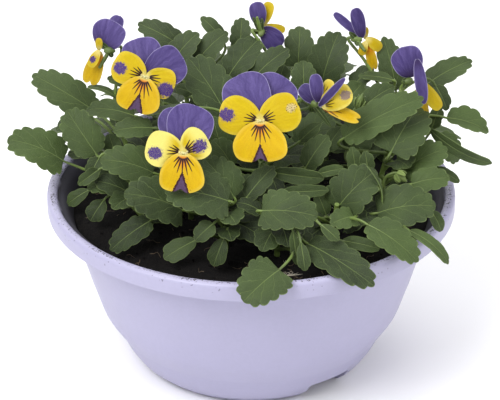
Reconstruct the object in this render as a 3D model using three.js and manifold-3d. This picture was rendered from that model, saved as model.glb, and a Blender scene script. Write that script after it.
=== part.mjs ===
/**
 * Horned violet (Viola cornuta) in a planting bowl.
 *
 * Millimetres, +Z up. The origin is on the bowl's axis, level with the ground that its foot stands on. -Y is
 * the front, and +X is to the right of someone who stands there. Every exported mesh is one closed solid.
 */
import * as THREE from 'three';
import { mergeVertices } from 'three/addons/utils/BufferGeometryUtils.js';
import loadManifold from 'manifold-3d';

const wasm = await loadManifold();
wasm.setup();

// ---------------------------------------------------------------------------------------------------------
// Driving dimensions
// ---------------------------------------------------------------------------------------------------------

// Bowl
const BOWL_HEIGHT = 104;
const RIM_RADIUS = 115;
const RIM_MOUTH_RADIUS = 108.9;
const RIM_BAND_HEIGHT = 9.6;
const RIM_SKIRT = 2.2;
const FLOOR_LEVEL = 15.4;
const BASE_RECESS = 13;
const FOOT_RADIUS = 61.5;
const FOOT_RING = 4;
const BOWL_SIDES = 32;
const NOTCH_COUNT = 2;
const NOTCH_HEIGHT = 12;
const NOTCH_WIDTH = 28;
const FIRST_NOTCH = -52;
const DRAIN_HOLES = 5;
const DRAIN_RADIUS = 4.5;
const DRAIN_CIRCLE = 34;
const DRAIN_TURN = 18;
const HOLE_SIDES = 6;

// Soil and clearances
const SOIL_LEVEL = 90;
const SOIL_RADIUS = 98.2;
const SOIL_RELIEF = 1.6;
const SOIL_SIDES = 24;
const GAP = 0.3;
const HOLE_CLEARANCE = 0.9;
const HOLE_DEPTH = 15;

// Greenery
const STEM_RADIUS = 1.9;
const STEM_SIDES = 5;
const STEM_STEPS = 4;
const PETIOLE_RADIUS = 1.05;
const PETIOLE_STEPS = 2;
const LARGE_LEAF = 22;
const STALK_RADIUS = 1.15;
const BLADE = 0.9;
const CRENATION = 0.055;
const RIB_END = 0.95;

// Blooms and buds
const PETAL = 0.8;
const HUB_RADIUS = 2.6;
const HUB_THICKNESS = 2.1;
const HUB_SIDES = 5;
const VIOLET_SETBACK = 1.3;
const CALYX_SETBACK = 3.7;
const YELLOW_SETBACK = VIOLET_SETBACK - GAP - HUB_THICKNESS;
const CALYX_LENGTH = 4.6;
const CALYX_RADIUS = 2.2;
const SPUR_RADIUS = 1.2;
const SPUR_BACK = 7.2;
const SPUR_RISE = 4;
const SEPAL_COUNT = 5;
const SEPAL_OUT = 6.8;
const SEPAL_BACK = 5.1;
const CROOK_BACK = 8.1;
const CROOK_DROP = 3;
const FIRST_PETAL_BACK = 0.1;

// Leaves and blooms are set out on a drawing sheet, 500 by 400 units, that shows the plant from the front and
// from above. A place on it has u to the right, v down and y, its depth in millimetres along +Y.
const SHEET_TILT = THREE.MathUtils.degToRad(27.15);
const SHEET_DISTANCE = 1200;
const SHEET_SCALE = 2127;
const SHEET_U = 251.2;
const SHEET_V = 184.8;

// ---------------------------------------------------------------------------------------------------------
// Materials
// ---------------------------------------------------------------------------------------------------------

/** Makes a material of one colour. */
function finish(color, roughness) {
  return new THREE.MeshStandardMaterial({ color, roughness, metalness: 0 });
}

const lilacPlastic = () => finish(0xbcb8dc, 0.45);
const peat = () => finish(0x17130f, 0.95);
const leafGreen = () => finish(0x566a3c, 0.7);
const petalViolet = () => finish(0x5b4a9c, 0.6);
const petalYellow = () => finish(0xe4c21f, 0.6);

// ---------------------------------------------------------------------------------------------------------
// Shared tools
// ---------------------------------------------------------------------------------------------------------

const UP = new THREE.Vector3(0, 0, 1);
const FRONT_FACE = new THREE.Vector3(0, -0.6, 0.8);
const VIEWER = new THREE.Vector3(0, -Math.cos(SHEET_TILT), Math.sin(SHEET_TILT));

/** Gives the point at depth y that a place on the drawing sheet stands for. */
function onSheet([u, v, y]) {
  const sin = Math.sin(SHEET_TILT);
  const cos = Math.cos(SHEET_TILT);
  const eye = new THREE.Vector3(0, -SHEET_DISTANCE * cos, SHEET_DISTANCE * sin + BOWL_HEIGHT);
  const right = (u - SHEET_U) / SHEET_SCALE;
  const rise = (SHEET_V - v) / SHEET_SCALE;
  const ray = new THREE.Vector3(right, cos + rise * sin, rise * cos - sin);
  return eye.addScaledVector(ray, (y - eye.y) / ray.y);
}

/** Merges a geometry's shared corners and drops the faces that this leaves without area. */
function weld(geometry) {
  const bare = new THREE.BufferGeometry();
  bare.setAttribute('position', geometry.getAttribute('position'));
  bare.setIndex(geometry.getIndex());
  const merged = mergeVertices(bare, 1e-4);
  const corners = merged.getIndex().array;
  const kept = [];
  for (let i = 0; i < corners.length; i += 3) {
    const [a, b, c] = corners.slice(i, i + 3);
    if (a !== b && b !== c && c !== a) {
      kept.push(a, b, c);
    }
  }
  merged.setIndex(kept);
  return merged;
}

/** Turns a closed geometry into a solid that can be joined and cut. */
function solid(geometry) {
  const welded = weld(geometry);
  return new wasm.Manifold(new wasm.Mesh({
    numProp: 3,
    vertProperties: new Float32Array(welded.getAttribute('position').array),
    triVerts: new Uint32Array(welded.getIndex().array),
  }));
}

/** Joins solids into one. */
function join(solids) {
  return solids.reduce((whole, piece) => whole.add(piece));
}

/** Makes the named mesh of a solid. */
function part(name, body, material) {
  const { vertProperties, triVerts, numProp } = body.getMesh();
  const position = new Float32Array((vertProperties.length / numProp) * 3);
  for (let i = 0; i < position.length; i += 1) {
    position[i] = vertProperties[Math.floor(i / 3) * numProp + (i % 3)];
  }
  const geometry = new THREE.BufferGeometry();
  geometry.setAttribute('position', new THREE.BufferAttribute(position, 3));
  geometry.setIndex([...triVerts]);
  geometry.computeVertexNormals();
  const mesh = new THREE.Mesh(geometry, material);
  mesh.name = name;
  return mesh;
}

/** Makes a round bar through a list of points. */
function bar(points, radius, sides, steps) {
  const corners = Array.from({ length: sides }, (_, i) => {
    const angle = (i / sides) * Math.PI * 2;
    return new THREE.Vector2(radius * Math.cos(angle), radius * Math.sin(angle));
  });
  return new THREE.ExtrudeGeometry(new THREE.Shape(corners), {
    extrudePath: new THREE.CatmullRomCurve3(points),
    steps,
    bevelEnabled: false,
  });
}

/** Makes a solid of revolution about +Z from a profile of [radius, height] points. */
function turned(profile, sides) {
  const points = profile.map(([radius, height]) => new THREE.Vector2(radius, height));
  return new THREE.LatheGeometry(points, sides).rotateX(Math.PI / 2);
}

/** Makes the upright cylinder that cuts a hole, centred on a place. */
function drill(radius, length, x, y, z) {
  const body = new THREE.CylinderGeometry(radius, radius, length, HOLE_SIDES).rotateX(Math.PI / 2);
  return solid(body.translate(x, y, z));
}

/** Turns a direction given in plan, in degrees from +X, into a unit vector. */
function bearing(degrees) {
  const angle = THREE.MathUtils.degToRad(degrees);
  return new THREE.Vector3(Math.cos(angle), Math.sin(angle), 0);
}

// ---------------------------------------------------------------------------------------------------------
// Bowl and soil
// ---------------------------------------------------------------------------------------------------------

/** The bowl's outside, from the foot's outer edge up to the recess under the rim. */
const OUTER_WALL = [
  [FOOT_RADIUS, 0], [69.3, 6], [77.2, 20], [82.3, 28], [86.8, 36], [90.3, 48], [96.6, 69], [103.3, 92],
];

/** The bowl's inside, from the recess under the lip down to the floor. */
const INNER_WALL = [[104.6, 98.6], [101, 91.5], [86.5, 43], [71.8, FLOOR_LEVEL], [0, FLOOR_LEVEL]];

/** Makes the bowl: wall, folded rim, recessed base, drainage notches and holes. */
function buildBowl() {
  const band = BOWL_HEIGHT - RIM_BAND_HEIGHT;
  const rim = [
    [105.4, band + 1.4], [RIM_RADIUS - RIM_SKIRT, band], [RIM_RADIUS - 0.5, band], [RIM_RADIUS, band + 0.8],
    [RIM_RADIUS, BOWL_HEIGHT - 2.2], [RIM_RADIUS - 0.9, BOWL_HEIGHT - 0.6], [RIM_RADIUS - 2.6, BOWL_HEIGHT],
    [RIM_MOUTH_RADIUS + 1.3, BOWL_HEIGHT - 0.2], [RIM_MOUTH_RADIUS, BOWL_HEIGHT - 1.4],
  ];
  const foot = [[0, BASE_RECESS], [69.6, BASE_RECESS], [FOOT_RADIUS - FOOT_RING, 0]];
  let bowl = solid(turned([...foot, ...OUTER_WALL, ...rim, ...INNER_WALL], BOWL_SIDES));
  for (let i = 0; i < NOTCH_COUNT; i += 1) {
    const turn = THREE.MathUtils.degToRad(FIRST_NOTCH + (i * 360) / NOTCH_COUNT);
    const notch = new THREE.BoxGeometry(FOOT_RADIUS, NOTCH_WIDTH, NOTCH_HEIGHT + 1);
    bowl = bowl.subtract(solid(notch.translate(FOOT_RADIUS, 0, (NOTCH_HEIGHT - 1) / 2).rotateZ(turn)));
  }
  for (let i = 0; i < DRAIN_HOLES; i += 1) {
    const { x, y } = bearing((i * 360) / DRAIN_HOLES + DRAIN_TURN).multiplyScalar(DRAIN_CIRCLE);
    bowl = bowl.subtract(drill(DRAIN_RADIUS, FLOOR_LEVEL, x, y, FLOOR_LEVEL));
  }
  return bowl;
}

/** Height of the soil's surface over a place in plan. */
function soilTop(x, y) {
  const radius = Math.hypot(x, y);
  const lumps = Math.sin(x * 0.11 + 1.3) * Math.cos(y * 0.13) + 0.6 * Math.sin(x * 0.05 - y * 0.07);
  const settled = radius > 90 ? -1.2 : 0;
  return SOIL_LEVEL + SOIL_RELIEF * lumps + settled;
}

/** Makes the soil: it fills the bowl, has a lumpy surface, and a plain hole for each stem. */
function buildSoil(stems) {
  const snug = Math.cos(Math.PI / BOWL_SIDES);
  const side = INNER_WALL.slice(1, -1).map(([radius, height]) => [radius * snug - GAP, height]).reverse();
  side[0][1] += GAP;
  side[side.length - 1] = [SOIL_RADIUS, SOIL_LEVEL - 0.8];
  const top = [84, 58, 30, 0].map((radius) => [radius, SOIL_LEVEL]);
  const body = turned([[0, FLOOR_LEVEL + GAP], ...side, ...top], SOIL_SIDES);
  const place = body.getAttribute('position');
  for (let i = 0; i < place.count; i += 1) {
    if (place.getZ(i) > SOIL_LEVEL - 1) {
      place.setZ(i, soilTop(place.getX(i), place.getY(i)));
    }
  }
  let soil = solid(body);
  for (const { foot: [x, y] } of Object.values(stems)) {
    soil = soil.subtract(drill(STEM_RADIUS + HOLE_CLEARANCE, 2 * HOLE_DEPTH, x, y, SOIL_LEVEL));
  }
  return soil;
}

// ---------------------------------------------------------------------------------------------------------
// Blades: leaves and petals
// ---------------------------------------------------------------------------------------------------------

/**
 * Outlines of blades. bulge over 1 brings the widest place nearer the tip, fullness under 1 makes the sides
 * rounder, lobe draws the shoulders back past the base, and notch draws the tip in.
 */
const OUTLINES = {
  round: { bulge: 0.82, fullness: 0.72, lobe: 0.16, notch: 0, teeth: CRENATION },
  egg: { bulge: 0.9, fullness: 0.85, lobe: 0.02, notch: 0, teeth: CRENATION },
  spoon: { bulge: 1.25, fullness: 1, lobe: 0, notch: 0, teeth: CRENATION * 0.8 },
  strap: { bulge: 1, fullness: 0.8, lobe: 0, notch: 0, teeth: CRENATION * 0.5 },
  petal: { bulge: 1.25, fullness: 0.85, lobe: 0, notch: 0, teeth: 0 },
  lip: { bulge: 1.35, fullness: 0.8, lobe: 0, notch: 0.12, teeth: 0 },
};

/**
 * Makes a blade from its base to its tip, as a thin plate split into triangles alike on both faces.
 * The rows of its outline stand in pairs, a crest and a hollow of its edge, and each pair shares a point of
 * the midrib. arch lifts its middle along the face, and fold lifts its edges, in degrees. A stalk, given as
 * the points that it passes on its way from the base, grows out of the blade as one body with it.
 */
function blade({ base, tip, face, width, kind, teeth, arch = 0, fold = 0, thickness = BLADE, stalk = [] }) {
  const { bulge, fullness, lobe, notch, teeth: depth } = OUTLINES[kind];
  const along = tip.clone().sub(base);
  const length = along.length();
  along.normalize();
  const across = new THREE.Vector3().crossVectors(along, face).normalize();
  const outward = new THREE.Vector3().crossVectors(across, along).normalize();
  const rise = Math.tan(THREE.MathUtils.degToRad(fold));
  const rows = 2 * teeth;
  const points = [];
  const faces = [];

  const put = (a, b) => {
    const t = a / length;
    const lift = arch * 4 * t * (1 - t) + Math.abs(b) * rise;
    const middle = base.clone().addScaledVector(along, a).addScaledVector(across, b);
    points.push(middle.clone().addScaledVector(outward, lift + thickness / 2));
    points.push(middle.addScaledVector(outward, lift - thickness / 2));
    return points.length / 2 - 1;
  };
  const edge = (row) => {
    const s = row / (rows + 1);
    const scale = 1 + depth * (row % 2 ? 1 : -1);
    const a = length * ((1 - Math.cos(Math.PI * s)) / 2 - lobe * Math.sin(Math.PI * s) * (1 - s) ** 2);
    const b = (width / 2) * Math.sin(Math.PI * s ** bulge) ** fullness;
    return [length * 0.45 + (a - length * 0.45) * scale, b * scale];
  };
  const skin = (a, b, c) => {
    faces.push([2 * a, 2 * b, 2 * c], [2 * a + 1, 2 * c + 1, 2 * b + 1]);
  };
  const wall = (a, b) => {
    faces.push([2 * a, 2 * a + 1, 2 * b + 1], [2 * a, 2 * b + 1, 2 * b]);
  };

  const neck = stalk.length > 0 ? PETIOLE_RADIUS : 0;
  const starts = neck > 0 ? [put(0, neck), put(0, -neck)] : Array(2).fill(put(0, 0));
  const rib = [];
  const sides = [[], []];
  for (let row = 1; row <= rows; row += 1) {
    const [a, b] = edge(row);
    sides[0].push(put(a, b));
    sides[1].push(put(a, -b));
    if (row % 2 === 0) {
      const s = (row - 0.5) / (rows + 1);
      const reach = Math.min((1 - Math.cos(Math.PI * s)) / 2, (1 - notch) * RIB_END);
      rib.push(put(length * reach, 0));
    }
  }
  const end = put(length * (1 - notch), 0);
  sides.forEach((side, turnedOver) => {
    const rim = [starts[turnedOver], ...side, end];
    const middle = [starts[turnedOver], ...rib.flatMap((point) => [point, point]), end];
    for (let i = 0; i < rim.length - 1; i += 1) {
      const [a, b] = turnedOver ? [rim[i + 1], rim[i]] : [rim[i], rim[i + 1]];
      const [c, d] = turnedOver ? [middle[i + 1], middle[i]] : [middle[i], middle[i + 1]];
      if (b !== d) {
        skin(a, b, d);
      }
      if (a !== c && c !== d) {
        skin(a, d, c);
      }
      wall(a, b);
    }
  });
  if (neck > 0) {
    skin(starts[0], rib[0], starts[1]);
    addStalk(points, faces, starts, [base, ...stalk], { across, outward });
  }

  const geometry = new THREE.BufferGeometry().setFromPoints(points);
  geometry.setIndex(faces.flat());
  return geometry;
}

/** Grows a square stalk out of the two points at a blade's base, without a twist, along a route. */
function addStalk(points, faces, [left, right], route, { across, outward }) {
  let ring = [2 * left, 2 * right, 2 * right + 1, 2 * left + 1];
  let heading = route[0].clone().sub(route[1]).normalize();
  const turn = new THREE.Quaternion();
  const [wide, high] = [across.clone(), outward.clone()];
  for (let i = 1; i < route.length; i += 1) {
    const ahead = route[i - 1].clone().sub(route[Math.min(i + 1, route.length - 1)]).normalize();
    turn.setFromUnitVectors(heading, ahead);
    wide.applyQuaternion(turn);
    high.applyQuaternion(turn);
    heading = ahead;
    const first = points.length;
    for (const [side, level] of [[1, 1], [-1, 1], [-1, -1], [1, -1]]) {
      const corner = route[i].clone().addScaledVector(wide, side * PETIOLE_RADIUS);
      points.push(corner.addScaledVector(high, level * PETIOLE_RADIUS * 0.85));
    }
    const next = [first, first + 1, first + 2, first + 3];
    for (let k = 0; k < 4; k += 1) {
      const j = (k + 1) % 4;
      faces.push([ring[k], ring[j], next[j]], [ring[k], next[j], next[k]]);
    }
    ring = next;
  }
  faces.push([ring[0], ring[1], ring[2]], [ring[0], ring[2], ring[3]]);
}

// ---------------------------------------------------------------------------------------------------------
// Leafy stems
// ---------------------------------------------------------------------------------------------------------

/** Stems: where each stands in the soil, in plan, and the top that it leans to. */
const STEMS = {
  left: { foot: [-62, 4], top: [-78, 12, 148] },
  left_front: { foot: [-58, -26], top: [-66, -24, 126] },
  mid_left: { foot: [-34, -14], top: [-44, -12, 150] },
  front_left: { foot: [-14, -48], top: [-20, -50, 132] },
  front: { foot: [14, -56], top: [14, -62, 126] },
  front_right: { foot: [44, -50], top: [46, -58, 122] },
  right_front: { foot: [66, -32], top: [74, -46, 124] },
  right: { foot: [70, -2], top: [82, -6, 150] },
  right_back: { foot: [58, 26], top: [76, 24, 152] },
  centre: { foot: [8, -14], top: [10, -16, 152] },
  centre_back: { foot: [14, 24], top: [16, 30, 160] },
  left_back: { foot: [-34, 28], top: [-38, 38, 160] },
  back_left: { foot: [-38, 62], top: [-34, 52, 136] },
  back: { foot: [-4, 66], top: [-4, 55, 136] },
  back_right: { foot: [44, 58], top: [36, 48, 136] },
};

/**
 * Leaves that show at the front and the sides. Each row: stem, outline, base and tip on the sheet with their
 * depths, width in millimetres, teeth a side, turn about the midrib in degrees, arch in millimetres and fold
 * of the edges in degrees.
 */
const LEAVES = [
  // left side
  ['left', 'egg', [96, 112, 22], [35, 76, 30], 19, 5, -10, 3, 8],
  ['left', 'egg', [96, 154, -4], [68, 112, 10], 20, 5, -15, 2, 8],
  ['left', 'egg', [134, 116, -2], [88, 110, 2], 14, 4, 10, 3, 8],
  ['left', 'round', [63, 161, -2], [10, 140, -2], 26, 5, 15, 3, 6],
  ['left', 'egg', [93, 151, 12], [69, 154, 14], 9, 3, 0, 1, 5],
  ['left_front', 'egg', [99, 158, -18], [90, 177, -24], 9, 3, 0, 1, 14],
  ['left_front', 'round', [124, 184, -20], [89, 188, -24], 13, 4, 10, 2, 5],
  ['left_front', 'spoon', [89, 190, -8], [68, 204, -10], 8.5, 3, 0, 1, 4],
  ['left_front', 'spoon', [104, 200, -24], [91, 220, -30], 11, 3, 0, 1, 4],
  ['left_front', 'egg', [150, 221, -52], [112, 249, -60], 14, 5, 0, 2, 6],
  // centre left
  ['mid_left', 'round', [153, 173, -32], [103, 160, -34], 21, 5, 0, 4, 8],
  ['mid_left', 'round', [182, 210, -46], [127, 194, -52], 25, 5, 0, 4, 8],
  ['mid_left', 'egg', [152, 128, -16], [115, 131, -18], 12.5, 4, 0, 2, 6],
  ['centre', 'strap', [194, 108, -14], [148, 115, -16], 9, 4, 40, 2, 8],
  // behind the left blooms
  ['left_back', 'egg', [184, 48, 50], [140, 24, 56], 14, 5, -10, 3, 6],
  ['left_back', 'egg', [172, 64, 42], [197, 34, 48], 15, 4, 0, 3, 8],
  ['left_back', 'egg', [222, 40, 56], [202, 18, 60], 9, 3, 0, 2, 6],
  ['left_back', 'egg', [197, 62, 44], [226, 33, 50], 14, 4, 0, 3, 8],
  ['centre', 'egg', [226, 114, -4], [190, 60, 16], 24, 5, 0, 4, 8],
  ['centre', 'egg', [222, 152, -26], [212, 118, -20], 17, 4, 0, 2, 5],
  ['centre', 'egg', [232, 166, -32], [214, 141, -30], 15, 4, 0, 2, 5],
  // behind the middle blooms
  ['centre_back', 'round', [240, 48, 58], [242, 19, 66], 12, 4, 0, 2, 5],
  ['centre_back', 'egg', [228, 77, 24], [258, 40, 34], 17, 5, 0, 3, 8],
  ['centre_back', 'egg', [252, 80, 20], [287, 50, 26], 14, 5, 0, 3, 8],
  ['centre_back', 'egg', [278, 85, 22], [284, 66, 28], 11, 3, 0, 1, 5],
  ['centre_back', 'round', [298, 66, 44], [300, 28, 54], 17, 4, 0, 3, 6],
  ['centre_back', 'egg', [304, 92, 14], [303, 62, 22], 14, 4, 0, 2, 6],
  ['centre_back', 'egg', [322, 82, 26], [338, 34, 34], 21, 5, 0, 4, 10],
  // right back
  ['right_back', 'egg', [396, 90, 28], [384, 39, 36], 15, 5, 0, 3, 8],
  ['right_back', 'egg', [352, 87, 24], [372, 68, 28], 11, 3, 0, 1, 5],
  ['right_back', 'egg', [362, 108, 4], [393, 87, 8], 13, 4, 0, 2, 6],
  ['right_back', 'egg', [423, 87, 26], [470, 61, 36], 13.5, 5, 0, 3, 8],
  ['right_back', 'egg', [447, 118, 10], [487, 131, 10], 17, 4, -20, 2, 20],
  // right
  ['right', 'egg', [344, 138, -20], [420, 99, -14], 19, 6, 0, 4, 8],
  ['right', 'round', [391, 152, -28], [418, 108, -2], 26, 5, 0, 4, 6],
  ['right', 'strap', [431, 130, -8], [491, 163, -12], 8, 5, 60, 5, 10],
  ['right', 'egg', [438, 136, -2], [458, 160, -2], 14, 4, 0, 2, 5],
  ['right', 'egg', [398, 173, -22], [445, 149, -18], 19, 5, 0, 3, 6],
  ['right', 'egg', [412, 184, -36], [448, 178, -36], 14, 4, 0, 2, 6],
  // right front
  ['right_front', 'round', [378, 213, -62], [433, 206, -64], 24, 5, 0, 4, 8],
  ['front_right', 'egg', [368, 225, -78], [416, 260, -92], 18, 5, -10, 3, 12],
  ['right_front', 'strap', [410, 231, -76], [448, 263, -82], 8.5, 5, -20, 3, 10],
  ['right_front', 'strap', [431, 211, -58], [441, 231, -62], 7, 3, 0, 2, 8],
  ['right_front', 'egg', [368, 171, -42], [365, 152, -40], 8, 3, 0, 1, 5],
  // front right
  ['front_right', 'round', [337, 209, -56], [374, 172, -50], 24, 5, 0, 4, 8],
  ['front_right', 'round', [354, 217, -66], [332, 224, -76], 13, 4, 0, 2, 6],
  ['front_right', 'egg', [308, 244, -80], [371, 284, -110], 19, 5, 0, 3, 10],
  ['front_right', 'egg', [326, 215, -54], [317, 193, -50], 8, 3, 0, 1, 5],
  ['front', 'strap', [283, 192, -52], [328, 190, -54], 7, 4, 30, 2, 6],
  // front
  ['front', 'round', [262, 211, -74], [315, 216, -80], 23, 5, 0, 3, 6],
  ['front', 'strap', [293, 232, -86], [297, 264, -90], 5.5, 3, 0, 1, 5],
  ['front', 'spoon', [301, 243, -91], [305, 270, -99], 7, 3, 0, 1, 5],
  ['front', 'round', [279, 270, -108], [245, 300, -124], 24, 5, 0, 2, 6],
  ['front', 'egg', [247, 197, -54], [273, 168, -46], 12, 4, 0, 2, 6],
  ['centre', 'egg', [306, 167, -36], [327, 137, -30], 13, 4, 0, 2, 6],
  ['centre', 'strap', [274, 172, -46], [323, 178, -48], 9, 4, 40, 2, 14],
  ['centre', 'egg', [326, 150, -18], [341, 128, -12], 10, 3, 0, 1, 5],
  // front left
  ['front_left', 'round', [228, 201, -64], [168, 190, -66], 25, 6, 0, 3, 6],
  ['front_left', 'egg', [234, 197, -58], [206, 161, -50], 20, 5, 0, 3, 8],
  ['front_left', 'egg', [213, 224, -72], [196, 240, -76], 10, 3, 0, 1, 5],
  ['front_left', 'spoon', [196, 240, -66], [165, 258, -72], 12, 3, 0, 1, 5],
  ['front_left', 'spoon', [224, 238, -72], [214, 265, -78], 10, 3, 0, 1, 5],
];

/**
 * Rings of leaves at the back, from the lowest up. They stand at even bearings over the back of the bowl, and
 * each grows from the stem that is listed for its third of the ring, from right to left.
 */
const BACK_RINGS = [
  {
    stems: ['back_right', 'back', 'back_left'], count: 8, from: 28, to: 152,
    base: [86, 121], tip: [130, 109], width: 22, teeth: 3,
  },
  {
    stems: ['back_right', 'back', 'back_left'], count: 6, from: 36, to: 144,
    base: [66, 138], tip: [101, 133], width: 21, teeth: 3,
  },
  {
    stems: ['right_back', 'centre_back', 'left_back'], count: 5, from: 50, to: 130,
    base: [60, 147], tip: [90, 149], width: 19, teeth: 2,
  },
  {
    stems: ['right_back', 'centre_back', 'left_back'], count: 4, from: 46, to: 140,
    base: [36, 122], tip: [64, 126], width: 20, teeth: 2,
  },
];
const BACK_JITTER = { bearing: 4, radius: 3, height: 2, width: 2 };

const MIN_ATTACH = SOIL_LEVEL + 3;

/** Makes the curve that a stem follows. */
function stemCurve({ foot: [x, y], top }) {
  const start = new THREE.Vector3(x, y, SOIL_LEVEL - HOLE_DEPTH + 2);
  const collar = new THREE.Vector3(x, y, SOIL_LEVEL + 4);
  return new THREE.CatmullRomCurve3([start, collar, new THREE.Vector3(...top)]);
}

/** Finds the place on a stem that stands at a height. */
function onStem(curve, height) {
  let best = curve.getPoint(1);
  for (let i = 0; i <= 40; i += 1) {
    const point = curve.getPoint(i / 40);
    if (Math.abs(point.z - height) < Math.abs(best.z - height)) {
      best = point;
    }
  }
  return best;
}

/** Makes a leaf whose petiole grows from a stem. */
function leafOn(curve, leaf) {
  const { base, tip } = leaf;
  const reach = Math.hypot(base.x - curve.getPoint(0.7).x, base.y - curve.getPoint(0.7).y);
  const height = Math.max(MIN_ATTACH, base.z - 3 - reach * 0.45);
  const root = onStem(curve, Math.min(height, curve.getPoint(1).z - 4));
  root.addScaledVector(base.clone().sub(root).setZ(0).normalize(), STEM_RADIUS * 0.2);
  const span = root.distanceTo(base);
  const bend = base.clone().addScaledVector(base.clone().sub(tip).normalize(), span * 0.4);
  bend.z = Math.max(bend.z, MIN_ATTACH);
  const route = new THREE.QuadraticBezierCurve3(base, bend, root);
  return solid(blade({ ...leaf, stalk: route.getPoints(PETIOLE_STEPS).slice(1) }));
}

/** Makes a generator of random numbers between -1 and 1 from a seed. */
function seeded(seed) {
  let state = seed;
  return () => {
    state = (state * 16807) % 2147483647;
    return (2 * state) / 2147483647 - 1;
  };
}

/** Works out the leaves of the back rings, with the stem of each. */
function backLeaves() {
  const random = seeded(7);
  return BACK_RINGS.flatMap(({ stems, count, from, to, base, tip, width, teeth }) =>
    Array.from({ length: count }, (_, i) => {
      const out = bearing(from + ((to - from) * i) / (count - 1) + random() * BACK_JITTER.bearing);
      const shift = new THREE.Vector3(random() * BACK_JITTER.radius, 0, random() * BACK_JITTER.height);
      const place = ([radius, height]) => out.clone().multiplyScalar(radius + shift.x).setZ(height + shift.z);
      return {
        stem: stems[Math.floor(((i + 0.5) / count) * stems.length)],
        base: place(base),
        tip: place(tip),
        face: out.clone().multiplyScalar(0.4).add(UP),
        width: width + random() * BACK_JITTER.width,
        kind: 'egg',
        teeth,
        arch: 3,
        fold: 7,
      };
    }));
}

/** Reads a row of the leaf table. */
function readLeaf([stem, kind, base, tip, width, teeth, turn, arch, fold]) {
  const from = onSheet(base);
  const to = onSheet(tip);
  const axis = to.clone().sub(from).normalize();
  const face = FRONT_FACE.clone().applyAxisAngle(axis, THREE.MathUtils.degToRad(turn));
  const pairs = Math.max(2, Math.min(teeth - 1, width < LARGE_LEAF ? 3 : 4));
  return { stem, base: from, tip: to, face, width, kind, teeth: pairs, arch, fold };
}

// ---------------------------------------------------------------------------------------------------------
// Blooms
// ---------------------------------------------------------------------------------------------------------

/**
 * Petals of an open bloom. Each row: colour, outline, angle round the throat in degrees from the bloom's
 * right, length, width, tilt towards the bloom's front in degrees, arch, fold, and setback behind the first
 * petal of its colour.
 */
const OPEN = [
  ['violet', 'petal', 116, 27, 26, -5, 1.5, 2, 0],
  ['violet', 'petal', 62, 27, 25, -10, 1.5, -5, 1.15],
  ['yellow', 'petal', 166, 22, 21, 2, 1, -4, 1.1],
  ['yellow', 'petal', 20, 22, 21, 2, 1, -4, 1.1],
  ['yellow', 'lip', 270, 22, 29, 7, 1.4, 3, 0],
];
const OPEN_RIGHT_FIRST = [
  ['violet', 'petal', 42, 23, 22, -5, 1.5, 2, 0],
  ['violet', 'petal', 116, 22, 22, -10, 1.5, -5, 1.15],
  ['yellow', 'petal', 170, 19, 18, 2, 1, -4, 1.1],
  ['yellow', 'petal', -4, 17, 17, 2, 1, -4, 1.1],
  ['yellow', 'lip', 270, 20, 24, 7, 1.4, 3, 0],
];
const NARROW = [
  ['violet', 'petal', 74, 26, 25, -5, 1.5, 2, 0],
  ['violet', 'petal', 102, 25, 18, -10, 1.5, -5, 1.15],
  ['yellow', 'petal', 168, 20, 19, 2, 1, -4, 1.1],
  ['yellow', 'petal', 34, 15, 18, 2, 1, -4, 1.1],
  ['yellow', 'lip', 264, 21, 24, 7, 1.4, 3, 0],
];

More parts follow.
